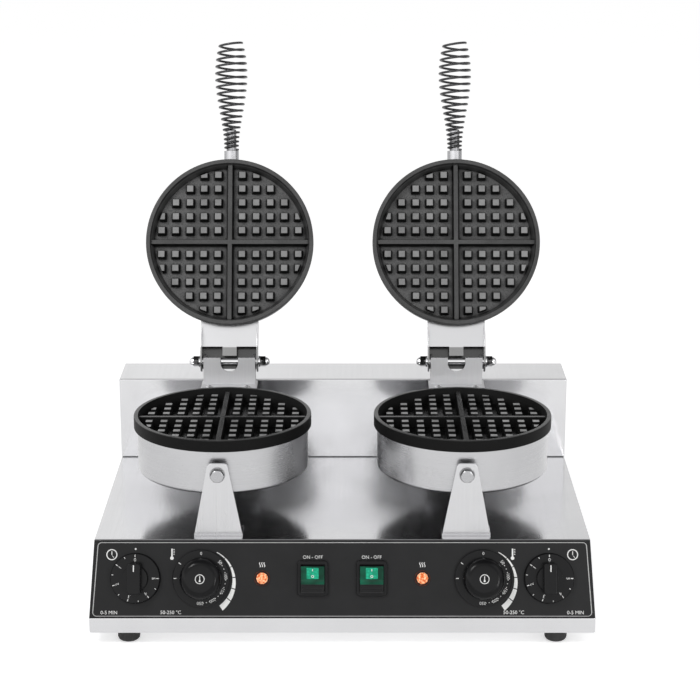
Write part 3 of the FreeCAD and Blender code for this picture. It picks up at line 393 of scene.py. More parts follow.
def lower_shell_steel():
    """Steel brushed round the shell, with painted shade, dark, on its underside."""
    material = steel(
        "steel brushed round a shell", (0.46, 0.46, 0.47), (6.0, 6.0, 1500.0), 0.2, 0.16, 0.006, 0.55)
    tree = material.node_tree
    shader = tree.nodes["Principled BSDF"]
    tangent = node(tree, "ShaderNodeTangent", {"direction_type": "RADIAL", "axis": "Z"}, {})
    tree.links.new(tangent.outputs[0], shader.inputs["Tangent"])
    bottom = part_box("lower_shell_left")[0]
    level = placed(tree, level_over_plane, {"Point": bottom, "Normal": (0.0, 0.0, 1.0)}).outputs[0]
    # Painted shade: the shell's lowest part, towards the deck, is painted dark
    under = spread(tree, level, *shell_foot_zone, 0.0, 1.0)
    bright = shader.inputs["Base Color"].links[0].from_socket
    tree.links.new(blended(tree, under, (0.05, 0.05, 0.05), bright), shader.inputs["Base Color"])
    return material


def arm_steel():
    """Strip steel of the lid arms, with painted shade inside their channel and on the tongue by the pin."""
    material = steel("strip steel of the arms", (0.58, 0.58, 0.59), (900.0, 900.0, 8.0), 0.16, 0.14, 0.004)
    tree = material.node_tree
    shader = tree.nodes["Principled BSDF"]
    point, way = lid_rim_plane()
    level = placed(tree, level_over_plane, {"Point": point, "Normal": way}).outputs[0]
    along = way.cross(Vector((1.0, 0.0, 0.0)))
    pin = joints["lid_hinge_left"]["pos_m"]
    from_pin = placed(tree, level_over_plane, {"Point": pin, "Normal": along}).outputs[0]
    facing = node(tree, "ShaderNodeTexCoord", {}, {}).outputs["Normal"]
    forwards = node(tree, "ShaderNodeVectorMath", {"operation": "DOT_PRODUCT"}, {0: facing, 1: way})
    front = spread(tree, forwards.outputs["Value"], 0.3, 0.6, 0.0, 1.0)
    # Painted shade on faces that look forwards: dark inside the channel, grey on the tongue by the pin
    inside = math_node(tree, "MULTIPLY", spread(tree, level, *arm_channel_zone, 1.0, 0.0), front)
    tongue = math_node(tree, "MULTIPLY", spread(tree, from_pin, *arm_tongue_zone, 1.0, 0.0), front)
    bright = shader.inputs["Base Color"].links[0].from_socket
    tongue_in_shade = blended(tree, tongue, bright, (0.24, 0.24, 0.24))
    tree.links.new(blended(tree, inside, tongue_in_shade, (0.07, 0.07, 0.07)), shader.inputs["Base Color"])
    return material


FINISHES = {
    "case_steel": steel(
        "polished stainless sheet", (0.60, 0.60, 0.61), (900.0, 5.0, 900.0), 0.11, 0.12, 0.002),
    "shell_steel": steel(
        "steel brushed round a lid", (0.46, 0.46, 0.47), (6.0, 900.0, 900.0), 0.2, 0.16, 0.006),
    "bracket_steel": steel(
        "satin stainless strip", (0.54, 0.54, 0.55), (900.0, 900.0, 8.0), 0.16, 0.14, 0.004),
    "bright_metal": steel("bright plated metal", (0.66, 0.66, 0.67), (60.0, 60.0, 60.0), 0.06, 0.08, 0.0),
    "heater_steel": steel("heat-dulled steel", (0.42, 0.40, 0.38), (200.0, 200.0, 200.0), 0.35, 0.2, 0.01),
    "panel_black": moulded("satin black panel", (0.011, 0.011, 0.0115), 0.36, 0.10, 0.004, 0.15),
    "knob_black": moulded("semi-gloss black knob", (0.004, 0.004, 0.0045), 0.16, 0.10, 0.004, 0.13),
    "black_plastic": moulded("satin black plastic", (0.006, 0.006, 0.0065), 0.3, 0.12, 0.008, 0.14),
    "terminal_white": moulded("white nylon", (0.70, 0.69, 0.66), 0.45, 0.1, 0.01),
    "foot_rubber": moulded("black rubber", (0.012, 0.012, 0.012), 0.65, 0.15, 0.02),
    "mineral_wool": moulded("mineral wool", (0.62, 0.58, 0.50), 0.9, 0.05, 0.3),
    "panel_print": moulded("white screen print", (0.72, 0.72, 0.71), 0.5, 0.1, 0.0),
    "amber_lens": lit_lens("amber lens", (0.55, 0.10, 0.02), (1.0, 0.62, 0.36), 0.55, 2.2),
    "green_lens": moulded("black rocker", (0.006, 0.006, 0.0065), 0.22, 0.08, 0.003, 0.2),
}
lower_rim_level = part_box("lower_plate_left")[1].z
# One coat in two tones: the lower plates' floor is painted near black as shade, the lids' floor lighter as sheen
LOWER_IRON_IN_SHADE = grid_iron(
    "coated iron, lower", (0.0, 0.0, lower_rim_level), (0.0, 0.0, 1.0), floor_tone=0.004, top_sheen_tone=0.30,
    rim_tone=0.06, roughness=0.14, gloss=0.12, shade_reach_mm=2.6, unshaded_slope=(0.45, 0.92))
LID_IRON_WITH_SHEEN = grid_iron(
    "coated iron, lids", *lid_rim_plane(), floor_tone=0.13, top_sheen_tone=0.28,
    rim_tone=0.06, roughness=0.22, gloss=0.2, shade_reach_mm=3.6, unshaded_slope=(0.2, 0.4))
LOWER_SHELL = lower_shell_steel()
# Bolt heads and handle rods get painted shade in their inner corners
BOLT_STEEL = darkened_corners(
    steel("turned bolt head", (0.40, 0.40, 0.41), (400.0, 400.0, 400.0), 0.2, 0.14, 0.004), 3.0, 0.02)
ARM_STEEL = arm_steel()
HINGE_STEEL = steel("dull hinge plate", (0.62, 0.62, 0.63), (900.0, 900.0, 20.0), 0.48, 0.1, 0.006)
# Near-black steel: a painted reflection of the dark surroundings that the wire mirrors
SPRING_WIRE = steel("drawn spring wire", (0.06, 0.06, 0.062), (250.0, 250.0, 900.0), 0.18, 0.16, 0.004)
# Dark patches on screw heads: painted shade that stands for their drive recesses
RECESS_DARK = steel("shaded recess", (0.06, 0.06, 0.06), (300.0, 300.0, 300.0), 0.4, 0.2, 0.01)
BORDER_GREY = moulded("grey screen print", (0.42, 0.42, 0.42), 0.5, 0.1, 0.0)
GREEN_CAP = lit_lens("green rocker cap", (0.001, 0.030, 0.016), (0.002, 0.085, 0.045), 0.3, 14.0)
GREEN_WINDOW = lit_lens("bright green window", (0.005, 0.20, 0.11), (0.015, 0.36, 0.21), 0.45, 3.0)
AMBER_EDGE = lit_lens("dark amber edge", (0.05, 0.008, 0.002), (0.16, 0.035, 0.012), 0.35, 3.0)


def finish_of(name):
    if name.startswith("handle_spring"):
        return SPRING_WIRE
    if name == "shell_bolts" or name.startswith("handle_rod"):
        return BOLT_STEEL
    if name.startswith("hinge_arm"):
        return ARM_STEEL
    if name.startswith("hinge_bracket"):
        return HINGE_STEEL
    if name.startswith("lower_plate"):
        return LOWER_IRON_IN_SHADE
    if name.startswith("upper_plate"):
        return LID_IRON_WITH_SHEEN
    if name.startswith("lower_shell"):
        return LOWER_SHELL
    return FINISHES[slot_of[name]]


# Pieces
def piece(name, mesh, material, body):
    """A finished piece at the origin, its place in its mesh, that moves with a body."""
    made = bpy.data.objects.new(name, mesh)
    bpy.context.scene.collection.objects.link(made)
    mesh.materials.clear()
    mesh.materials.append(material)
    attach(made, body)
    return made


def mesh_of(shape, name, smooth_deg=32.0):
    mesh = bpy.data.meshes.new(name)
    shape.to_mesh(mesh)
    shape.free()
    mesh.polygons.foreach_set("use_smooth", [True] * len(mesh.polygons))
    mesh.set_sharp_from_angle(angle=math.radians(smooth_deg))
    return mesh


def piece_of(shape, name, material, body, smooth_deg=32.0):
    return piece(name, mesh_of(shape, name, smooth_deg), material, body)


def evaluated_mesh(holder):
    """The plain mesh of an object with its modifiers, which is then removed."""
    bpy.context.view_layer.update()
    mesh = bpy.data.meshes.new_from_object(holder.evaluated_get(bpy.context.evaluated_depsgraph_get()))
    holder.modifiers.clear()
    bpy.data.objects.remove(holder)
    return mesh


def softened(name, width_mm, sharp_deg=38.0):
    """A copy of a node's shape with its sharp edges rounded off, which stands for the node."""
    shape = bmesh.new()
    shape.from_mesh(nodes[name].data)
    bmesh.ops.remove_doubles(shape, verts=shape.verts, dist=merge_distance * MM)
    bmesh.ops.dissolve_limit(shape, angle_limit=math.radians(0.4), verts=shape.verts, edges=shape.edges)
    holder = bpy.data.objects.new("soft_" + name, mesh_of(shape, "soft_" + name, 180.0))
    bpy.context.scene.collection.objects.link(holder)
    rounding = holder.modifiers.new("rounding", "BEVEL")
    rounding.width = width_mm * MM
    rounding.segments = 2
    rounding.limit_method = "ANGLE"
    rounding.angle_limit = math.radians(sharp_deg)
    rounding.use_clamp_overlap = False
    flats = holder.modifiers.new("flats", "WEIGHTED_NORMAL")
    flats.mode = "FACE_AREA"
    flats.weight = 90
    made = piece("soft_" + name, evaluated_mesh(holder), finish_of(name), body_of[name])
    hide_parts(name)
    return made


# Flat print, drawn in a plane's own X and Y and given a thin body
def add_prism(shape, outline, low, high, matrix):
    """Adds a closed prism over an outline of (x, y) millimetres to a mesh being made."""
    under, over = [[shape.verts.new(matrix @ Vector((x * MM, y * MM, z * MM))) for x, y in outline]
                   for z in (low, high)]
    shape.faces.new(over)
    shape.faces.new(list(reversed(under)))
    count = len(outline)
    for k in range(count):
        after = (k + 1) % count
        shape.faces.new((under[k], under[after], over[after], over[k]))


def add_print(shape, outline, matrix):
    """Adds a printed patch over an outline."""
    add_prism(shape, outline, 0.0, print_thickness, matrix)


def arc(radius, start_deg, end_deg, steps, middle=(0.0, 0.0)):
    points = []
    for k in range(steps + 1):
        angle = math.radians(start_deg + (end_deg - start_deg) * k / steps)
        points.append((middle[0] + radius * math.cos(angle), middle[1] + radius * math.sin(angle)))
    return points


def band(inner, outer, start_deg, end_deg, steps, middle=(0.0, 0.0)):
    """Outline of a piece of a ring, counter-clockwise."""
    return arc(outer, start_deg, end_deg, steps, middle) + arc(inner, end_deg, start_deg, steps, middle)


def bar(x_low, x_high, y_low, y_high):
    return [(x_low, y_low), (x_high, y_low), (x_high, y_high), (x_low, y_high)]


def add_ring(shape, inner, outer, matrix, middle=(0.0, 0.0)):
    """A full ring, as two half bands."""
    for start in (0.0, 180.0):
        add_print(shape, band(inner, outer, start, start + 180.0, 24, middle), matrix)


def add_words(shape, words, height_mm, matrix):
    """Adds generic dial numbers or switch words as thin solid letters, centred."""
    curve = bpy.data.curves.new("words", "FONT")
    curve.body = words
    curve.align_x = "CENTER"
    curve.align_y = "CENTER"
    curve.size = height_mm * MM / 0.7
    curve.resolution_u = 3
    curve.extrude = print_thickness * MM / 2
    holder = bpy.data.objects.new("words", curve)
    bpy.context.scene.collection.objects.link(holder)
    bpy.context.view_layer.update()
    letters = bpy.data.meshes.new_from_object(holder.evaluated_get(bpy.context.evaluated_depsgraph_get()))
    letters.transform(matrix @ Matrix.Translation((0.0, 0.0, print_thickness * MM / 2)))
    shape.from_mesh(letters)
    bpy.data.objects.remove(holder)
    bpy.data.curves.remove(curve)
    bpy.data.meshes.remove(letters)


# Things that repeat, grown by Geometry Nodes
def ring_of_marks_tree():
    """Small bars spaced evenly round a dial, each pointing at its middle."""
    tree, given, result = group_tree(
        "GeometryNodeTree", "marks on a ring",
        [("Count", "NodeSocketInt", 8), ("Radius", "NodeSocketFloat", 0.02),
         ("First Angle", "NodeSocketFloat", 0.0), ("Step Angle", "NodeSocketFloat", 0.5),
         ("Mark Size", "NodeSocketVector", (0.003, 0.001, 0.0001)),
         ("Material", "NodeSocketMaterial", None)],
        [("Geometry", "NodeSocketGeometry")])
    index = node(tree, "GeometryNodeInputIndex", {}, {}).outputs[0]
    turn = math_node(tree, "MULTIPLY", index, given.outputs["Step Angle"])
    angle = math_node(tree, "ADD", turn, given.outputs["First Angle"])
    place = node(tree, "ShaderNodeCombineXYZ", {}, {
        "X": math_node(tree, "MULTIPLY", math_node(tree, "COSINE", angle), given.outputs["Radius"]),
        "Y": math_node(tree, "MULTIPLY", math_node(tree, "SINE", angle), given.outputs["Radius"])})
    euler = node(tree, "ShaderNodeCombineXYZ", {}, {"Z": angle})
    points = node(tree, "GeometryNodePoints", {}, {
        "Count": given.outputs["Count"], "Position": place.outputs[0]})
    mark = node(tree, "GeometryNodeMeshCube", {}, {"Size": given.outputs["Mark Size"]})
    turned = node(tree, "FunctionNodeEulerToRotation", {}, {0: euler.outputs[0]})
    spaced = node(tree, "GeometryNodeInstanceOnPoints", {}, {
        "Points": points.outputs[0], "Instance": mark.outputs["Mesh"], "Rotation": turned.outputs[0]})
    solid = node(tree, "GeometryNodeRealizeInstances", {}, {0: spaced.outputs[0]})
    painted = node(tree, "GeometryNodeSetMaterial", {}, {
        "Geometry": solid.outputs[0], "Material": given.outputs["Material"]})
    tree.links.new(painted.outputs[0], result.inputs[0])
    return tree


def drive_recess_tree(name, arms):
    """A thin dark hexagon (no arms) or cross, set half into each screw head, square to the head's own way.
    Its dark is painted shade where a drive recess would be.
    """
    tree, given, result = group_tree(
        "GeometryNodeTree", name,
        [("Geometry", "NodeSocketGeometry", None), ("Width", "NodeSocketFloat", 0.003),
         ("Thickness", "NodeSocketFloat", 0.0002), ("Material", "NodeSocketMaterial", None)],
        [("Geometry", "NodeSocketGeometry")])
    width, thickness = given.outputs["Width"], given.outputs["Thickness"]
    if arms:
        narrow = math_node(tree, "MULTIPLY", width, 0.26)
        shape = node(tree, "GeometryNodeJoinGeometry", {}, {})
        for across, along in ((width, narrow), (narrow, width)):
            size = node(tree, "ShaderNodeCombineXYZ", {}, {"X": across, "Y": along, "Z": thickness})
            arm = node(tree, "GeometryNodeMeshCube", {}, {"Size": size.outputs[0]})
            tree.links.new(arm.outputs["Mesh"], shape.inputs[0])
    else:
        shape = node(tree, "GeometryNodeMeshCylinder", {}, {
            "Vertices": 6, "Radius": math_node(tree, "MULTIPLY", width, 0.577), "Depth": thickness})
    way = node(tree, "GeometryNodeInputNamedAttribute", {"data_type": "FLOAT_VECTOR"}, {"Name": "way"})
    square = node(tree, "FunctionNodeAlignRotationToVector", {"axis": "Z"}, {"Vector": way.outputs[0]})
    spaced = node(tree, "GeometryNodeInstanceOnPoints", {}, {
        "Points": given.outputs["Geometry"], "Instance": shape.outputs[0], "Rotation": square.outputs[0]})
    solid = node(tree, "GeometryNodeRealizeInstances", {}, {0: spaced.outputs[0]})
    painted = node(tree, "GeometryNodeSetMaterial", {}, {
        "Geometry": solid.outputs[0], "Material": given.outputs["Material"]})
    tree.links.new(painted.outputs[0], result.inputs[0])
    return tree


def grown(name, tree, values, start=None):
    """The plain mesh that a tree gives for these named inputs."""
    holder = bpy.data.objects.new(name, start or bpy.data.meshes.new(name))
    bpy.context.scene.collection.objects.link(holder)
    modifier = holder.modifiers.new(name, "NODES")
    modifier.node_group = tree
    for item in tree.interface.items_tree:
        if item.item_type == "SOCKET" and item.in_out == "INPUT" and item.name in values:
            modifier[item.identifier] = values[item.name]
    return evaluated_mesh(holder)


RING_OF_MARKS = ring_of_marks_tree()
HEX_SOCKETS = drive_recess_tree("hexagon sockets", False)
CROSS_RECESSES = drive_recess_tree("cross recesses", True)


def screw_heads(name):
    """The top of each screw in a node and the way it faces.

    A screw is longest along its axis and widest at its head.
    """
    shape = bmesh.new()
    shape.from_mesh(nodes[name].data)
    bmesh.ops.remove_doubles(shape, verts=shape.verts, dist=merge_distance * MM)
    heads = []
    seen = set()
    for first in shape.verts:
        if first in seen:
            continue
        seen.add(first)
        stack = [first]
        island = []
        while stack:
            vertex = stack.pop()
            island.append(vertex.co.copy())
            for edge in vertex.link_edges:
                other = edge.other_vert(vertex)
                if other not in seen:
                    seen.add(other)
                    stack.append(other)
        low = Vector([min(point[k] for point in island) for k in range(3)])
        high = Vector([max(point[k] for point in island) for k in range(3)])
        middle = (low + high) / 2
        axis = max(range(3), key=lambda k: high[k] - low[k])
        along = Vector([float(k == axis) for k in range(3)])
        tips = {-1.0: low[axis], 1.0: high[axis]}
        widths = {}
        for end, tip in tips.items():
            depth = head_share * (high[axis] - low[axis])
            near = [point - middle for point in island if abs(point[axis] - tip) < depth]
            widths[end] = max((reach - reach.dot(along) * along).length for reach in near)
        end = 1.0 if widths[1.0] > widths[-1.0] else -1.0
        top = middle.copy()
        top[axis] = tips[end]
        heads.append((top, end * along))
    shape.free()
    return heads


def add_recesses(name, tree, width_mm):
    """Painted shade of a drive recess, a thin dark patch, on every screw head of a node."""
    heads = screw_heads(name)
    points = bpy.data.meshes.new("heads of " + name)
    points.from_pydata([top for top, way in heads], [], [])
    attribute = points.attributes.new("way", "FLOAT_VECTOR", "POINT")
    attribute.data.foreach_set("vector", [part for top, way in heads for part in way])
    mesh = grown("recess_" + name, tree, {
        "Width": width_mm * MM, "Thickness": recess_skin * MM, "Material": RECESS_DARK}, points)
    piece("recess_" + name, mesh, RECESS_DARK, body_of[name])


# The panel's own frame: X right, Y up its slope, Z out of it
panel_out = Vector(joints["timer_turn_left"]["axis"])
panel_up = panel_out.cross(Vector((1.0, 0.0, 0.0)))


def on_panel(x, up=0.0, out=0.0):
    """Places a shape drawn in millimetres round the control line."""
    line = Vector(joints["timer_turn_left"]["pos_m"])
    place = Vector((x * MM, line.y, line.z)) + up * MM * panel_up + out * MM * panel_out
    turn = Matrix((Vector((1.0, 0.0, 0.0)), panel_up, panel_out)).transposed()
    return Matrix.Translation(place) @ turn.to_4x4()


def control_x(joint_name):
    return joints[joint_name]["pos_m"][0] / MM


def rounded_outline(left, right, low, high, corner, slant=0.0):
    """A rounded rectangle whose sides lean inwards by slant at the top."""
    return (arc(corner, 0.0, 90.0, 8, (right - slant - corner, high - corner))
            + arc(corner, 90.0, 180.0, 8, (left + slant + corner, high - corner))
            + arc(corner, 180.0, 270.0, 8, (left + corner, low + corner))
            + arc(corner, 270.0, 360.0, 8, (right - corner, low + corner)))


def add_closed_line(shape, outer, inner, matrix):
    """A closed printed line between two outlines with the same number of points."""
    count = len(outer)
    edges = ((outer, 0.0), (outer, print_thickness), (inner, print_thickness), (inner, 0.0))
    rows = [[shape.verts.new(matrix @ Vector((x * MM, y * MM, z * MM))) for x, y in outline]
            for outline, z in edges]
    for k in range(count):
        after = (k + 1) % count
        for first, second in ((0, 1), (1, 2), (2, 3), (3, 0)):
            shape.faces.new((rows[first][k], rows[first][after], rows[second][after], rows[second][k]))


def add_clock(shape, matrix, middle):
    """Pictogram for time: a ring with two hands."""
    add_ring(shape, 4.9, 6.0, matrix, middle)
    x, y = middle
    add_print(shape, bar(x - 0.45, x + 0.45, y - 0.3, y + 3.6), matrix)
    add_print(shape, [(x - 0.2, y - 0.6), (x + 0.5, y - 0.9), (x + 2.6, y - 2.9), (x + 1.9, y - 3.3)], matrix)


def add_thermometer(shape, matrix, middle):
    """Pictogram for heat: a bulb, a stem and degree marks."""
    x, y = middle
    add_print(shape, arc(2.0, 0.0, 345.0, 22, (x, y - 4.2)), matrix)
    add_print(shape, bar(x - 0.8, x + 0.8, y - 2.2, y + 6.0), matrix)
    for k in range(4):
        add_print(shape, bar(x + 1.4, x + 3.0, y - 0.6 + 1.8 * k, y + 1.8 * k), matrix)


def add_heat_waves(shape, matrix, middle):
    """Pictogram for heating: three rising waves."""
    for column in (-2.4, 0.0, 2.4):
        rows = []
        for k in range(13):
            y = middle[1] - 2.6 + 5.2 * k / 12
            rows.append((middle[0] + column + 0.55 * math.sin(2.0 * math.pi * k / 12), y))
        right = [(x + 0.4, y) for x, y in rows]
        left = [(x - 0.4, y) for x, y in reversed(rows)]
        add_print(shape, right + left, matrix)


def add_heat_scale(shape, matrix):
    """A crescent that grows as it goes clockwise, in six steps with narrow gaps."""
    steps = 6
    for k in range(steps):
        outer = []
        inner = []
        for j in range(9):
            share = (k + 0.04 + 0.92 * j / 8) / steps
            angle = math.radians(heat_scale_start_deg - heat_scale_sweep_deg * share)
            for points, radius in ((outer, 33.0 + 9.0 * share ** 1.2), (inner, 32.2 + 3.2 * share)):
                points.append((radius * math.cos(angle), radius * math.sin(angle)))
        add_print(shape, inner + list(reversed(outer)), matrix)


def word_place(x, y):
    return Matrix.Translation((x * MM, y * MM, 0.0))


def panel_print():
    """Everything printed on the panel: pictograms, generic words, the pointer dots and the heat scales."""
    shape = bmesh.new()
    for side, sign in SIDES:
        timer = on_panel(control_x("timer_turn_" + side), 0.0, panel_thickness)
        add_clock(shape, timer, (sign * clock_aside, clock_up))
        add_print(shape, arc(pointer_dot_radius, 0.0, 330.0, 11, (0.0, pointer_dot_up)), timer)
        place = timer @ word_place(sign * timer_word_aside, timer_word_up)
        add_words(shape, "0-5 MIN", panel_word_height, place)
        heat = on_panel(control_x("thermostat_turn_" + side), 0.0, panel_thickness)
        add_thermometer(shape, heat, (sign * thermometer_aside, thermometer_up))
        add_heat_scale(shape, heat)
        place = heat @ word_place(sign * heat_word_aside, heat_word_up)
        add_words(shape, "50-250 °C", panel_word_height, place)
        lamp = on_panel(sign * lamp_from_middle, 0.0, panel_thickness)
        add_heat_waves(shape, lamp, (0.0, heat_waves_up))
        switch = on_panel(control_x("switch_rock_" + side), 0.0, panel_thickness)
        add_words(shape, "ON - OFF", switch_word_height, switch @ word_place(0.0, switch_word_up))
    piece_of(shape, "panel_print", FINISHES["panel_print"], "frame")


def panel_border():
    """The thin grey line round the panel."""
    slant = panel_half_width - panel_top_half_width
    outlines = []
    for inwards in (0.0, border_width):
        inset = border_inset + inwards
        outlines.append(rounded_outline(
            inset - panel_half_width, panel_half_width - inset, panel_low + 0.65 * inset,
            panel_high - 0.75 * inset, border_corner - inwards, slant))
    shape = bmesh.new()
    add_closed_line(shape, outlines[0], outlines[1], on_panel(0.0, 0.0, panel_thickness))
    bmesh.ops.recalc_face_normals(shape, faces=shape.faces)
    piece_of(shape, "panel_border", BORDER_GREY, "frame")


panel_print()
panel_border()


# Dials
def turned_words(shape, words, height_mm, radius, angle_deg, matrix):
    """Words round a dial, their feet towards its middle."""
    angle = math.radians(angle_deg)
    place = Matrix.Translation((radius * MM * math.cos(angle), radius * MM * math.sin(angle), 0.0))
    add_words(shape, words, height_mm, matrix @ place @ Matrix.Rotation(angle - math.pi / 2, 4, "Z"))


def add_marks(shape, matrix, count, radius, first_deg, step_deg, length, width):
    mesh = grown("marks", RING_OF_MARKS, {
        "Count": count, "Radius": radius * MM, "First Angle": math.radians(first_deg),
        "Step Angle": math.radians(step_deg),
        "Mark Size": (length * MM, width * MM, 2.0 * print_thickness * MM),
        "Material": FINISHES["panel_print"]})
    mesh.transform(matrix)
    shape.from_mesh(mesh)
    bpy.data.meshes.remove(mesh)


def domed_knob(side):
    """The thermostat's knob with its well rounded dome, which stands for the plain one."""
    name = "thermostat_knob_" + side
    skirt_top = knob_foot + thermostat_skirt_height
    dome_top = knob_foot + thermostat_dome_height
    line = [(0.0, knob_recess_top), (knob_recess_radius, knob_recess_top), (knob_recess_radius, knob_foot),
            (thermostat_skirt_radius, knob_foot), (thermostat_skirt_radius, skirt_top - skirt_edge),
            (thermostat_skirt_radius - skirt_edge, skirt_top), (thermostat_dome_radius, skirt_top)]
    flat = thermostat_dome_radius - dome_rounding
    line += arc(dome_rounding, 0.0, 90.0, 10, (flat, dome_top - dome_rounding)) + [(0.0, dome_top)]
    matrix = on_panel(control_x("thermostat_turn_" + side))
    count = 72
    shape = bmesh.new()
    rows = []
    for radius, out in line:
        if radius == 0.0:
            rows.append([shape.verts.new(matrix @ Vector((0.0, 0.0, out * MM)))] * count)
        else:
            rows.append([shape.verts.new(matrix @ Vector((x * MM, y * MM, out * MM)))
                         for x, y in arc(radius, 0.0, 360.0 - 360.0 / count, count - 1)])
    for low, high in zip(rows, rows[1:]):
        for k in range(count):
            after = (k + 1) % count
            corners = list(dict.fromkeys((low[k], low[after], high[after], high[k])))
            shape.faces.new(corners)
    bmesh.ops.recalc_face_normals(shape, faces=shape.faces)
    made = piece_of(shape, "domed_knob_" + side, finish_of(name), body_of[name])
    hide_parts(name)


def timer_print(side):
    """Minutes and marks on a timer's skirt, and the pointer line on its bar."""
    face = on_panel(control_x("timer_turn_" + side), 0.0, knob_foot + timer_skirt_height)
    shape = bmesh.new()
    add_marks(shape, face, 6, timer_mark_radius, 90.0, timer_step_deg, 2.6, 0.8)
    half_way = 90.0 + timer_step_deg / 2
    add_marks(shape, face, 5, timer_half_mark_radius, half_way, timer_step_deg, 1.7, 0.7)
    for number in range(6):
        angle = 90.0 + timer_step_deg * number
        turned_words(shape, str(number), timer_number_height, timer_number_radius, angle, face)
    bar_top = on_panel(control_x("timer_turn_" + side), 0.0, knob_foot + timer_bar_height)
    end = timer_bar_length / 2 - pointer_line_inset
    add_prism(shape, bar(-0.55, 0.55, end - pointer_line_length, end), -0.05, print_thickness, bar_top)
    piece_of(shape, "timer_print_" + side, FINISHES["panel_print"], "timer_dial_" + side)


def thermostat_print(side):
    """Degrees and marks on a thermostat's skirt, and a small sign on its dome."""
    middle = control_x("thermostat_turn_" + side)
    face = on_panel(middle, 0.0, knob_foot + thermostat_skirt_height)
    shape = bmesh.new()
    places = ((0, 90.0), (50, 40.0), (100, 5.0), (150, -30.0), (200, -62.0), (250, -92.0))
    for number, angle in places:
        turned_words(shape, str(number), heat_number_height, heat_number_radius, angle, face)
    angles = [angle for number, angle in places[1:]]
    for angle, next_angle in zip(angles, angles[1:]):
        step = (next_angle - angle) / 4
        add_marks(shape, face, 3, heat_number_radius, angle + step, step, 0.9, 0.9)
    add_marks(shape, face, 2, off_mark_radius, 145.0, 35.0, 3.0, 0.9)
    cap = on_panel(middle, 0.0, knob_foot + thermostat_dome_height)
    add_ring(shape, 4.4, 5.2, cap)
    add_print(shape, arc(1.1, 0.0, 330.0, 11, (0.0, -2.0)), cap)
    add_print(shape, bar(-0.45, 0.45, -1.0, 3.2), cap)
    body = "thermostat_dial_" + side
    piece_of(shape, "thermostat_print_" + side, FINISHES["panel_print"], body)


for side, sign in SIDES:
    timer_print(side)
    domed_knob(side)
    thermostat_print(side)


# Lamps and switches
def lamp_facets():
    """Two faceted amber domes, which stand for the plain lenses.

    A ring has its radius, its height over the panel and its turn, counted in facets.
    """
    shape = bmesh.new()
    rings = ((lamp_lens_radius, lamp_lens_base, 0.0), (lamp_lens_radius, lamp_lens_rim, 0.0),
             (4.7, lamp_lens_rim + 1.5, 0.5), (2.5, lamp_lens_rim + 2.7, 0.0))
    count = 10
    for side, sign in SIDES:
        matrix = on_panel(sign * lamp_from_middle)
        rows = []
        for radius, out, shift in rings:
            angles = [2.0 * math.pi * (k + shift) / count for k in range(count)]
            corners = [(radius * MM * math.cos(angle), radius * MM * math.sin(angle)) for angle in angles]
            rows.append([shape.verts.new(matrix @ Vector((x, y, out * MM))) for x, y in corners])
        tip = shape.verts.new(matrix @ Vector((0.0, 0.0, lamp_lens_top * MM)))
        for k in range(count):
            after = (k + 1) % count
            shape.faces.new((rows[0][k], rows[0][after], rows[1][after], rows[1][k]))
            shape.faces.new((rows[1][k], rows[1][after], rows[2][k]))
            shape.faces.new((rows[1][after], rows[2][after], rows[2][k]))
            shape.faces.new((rows[2][k], rows[2][after], rows[3][after]))
            shape.faces.new((rows[2][k], rows[3][after], rows[3][k]))
            shape.faces.new((rows[3][k], rows[3][after], tip))
        shape.faces.new(list(reversed(rows[0])))
    bmesh.ops.recalc_face_normals(shape, faces=shape.faces)
    made = piece_of(shape, "lamp_facets", FINISHES["amber_lens"], "frame", 5.0)
    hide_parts("lamp_lenses")


def lamp_collars():
    """A dark amber collar round each lens, where its light fades into the panel."""
    shape = bmesh.new()
    for side, sign in SIDES:
        matrix = on_panel(sign * lamp_from_middle, 0.0, lamp_lens_base + 0.3)
        add_ring(shape, lamp_lens_radius - 0.1, lamp_lens_radius + lamp_collar_width, matrix)
    piece_of(shape, "lamp_collars", AMBER_EDGE, "frame")


def rounded_prism(shape, outline, x_low, x_high, width_mm, matrix):
    """Adds a prism along X over an outline of (up, out) millimetres, with rounded edges."""
    part = bmesh.new()
    ends = [[part.verts.new((x * MM, up * MM, out * MM)) for up, out in outline] for x in (x_low, x_high)]
    part.faces.new(list(reversed(ends[0])))
    part.faces.new(ends[1])
    for k in range(len(outline)):
        after = (k + 1) % len(outline)
        part.faces.new((ends[0][k], ends[0][after], ends[1][after], ends[1][k]))
    bmesh.ops.recalc_face_normals(part, faces=part.faces)
    bmesh.ops.bevel(part, geom=part.edges[:], offset=width_mm * MM, segments=3, profile=0.5, affect="EDGES")
    part.transform(matrix)
    held = bpy.data.meshes.new("rounded prism")
    part.to_mesh(held)
    part.free()
    shape.from_mesh(held)
    bpy.data.meshes.remove(held)


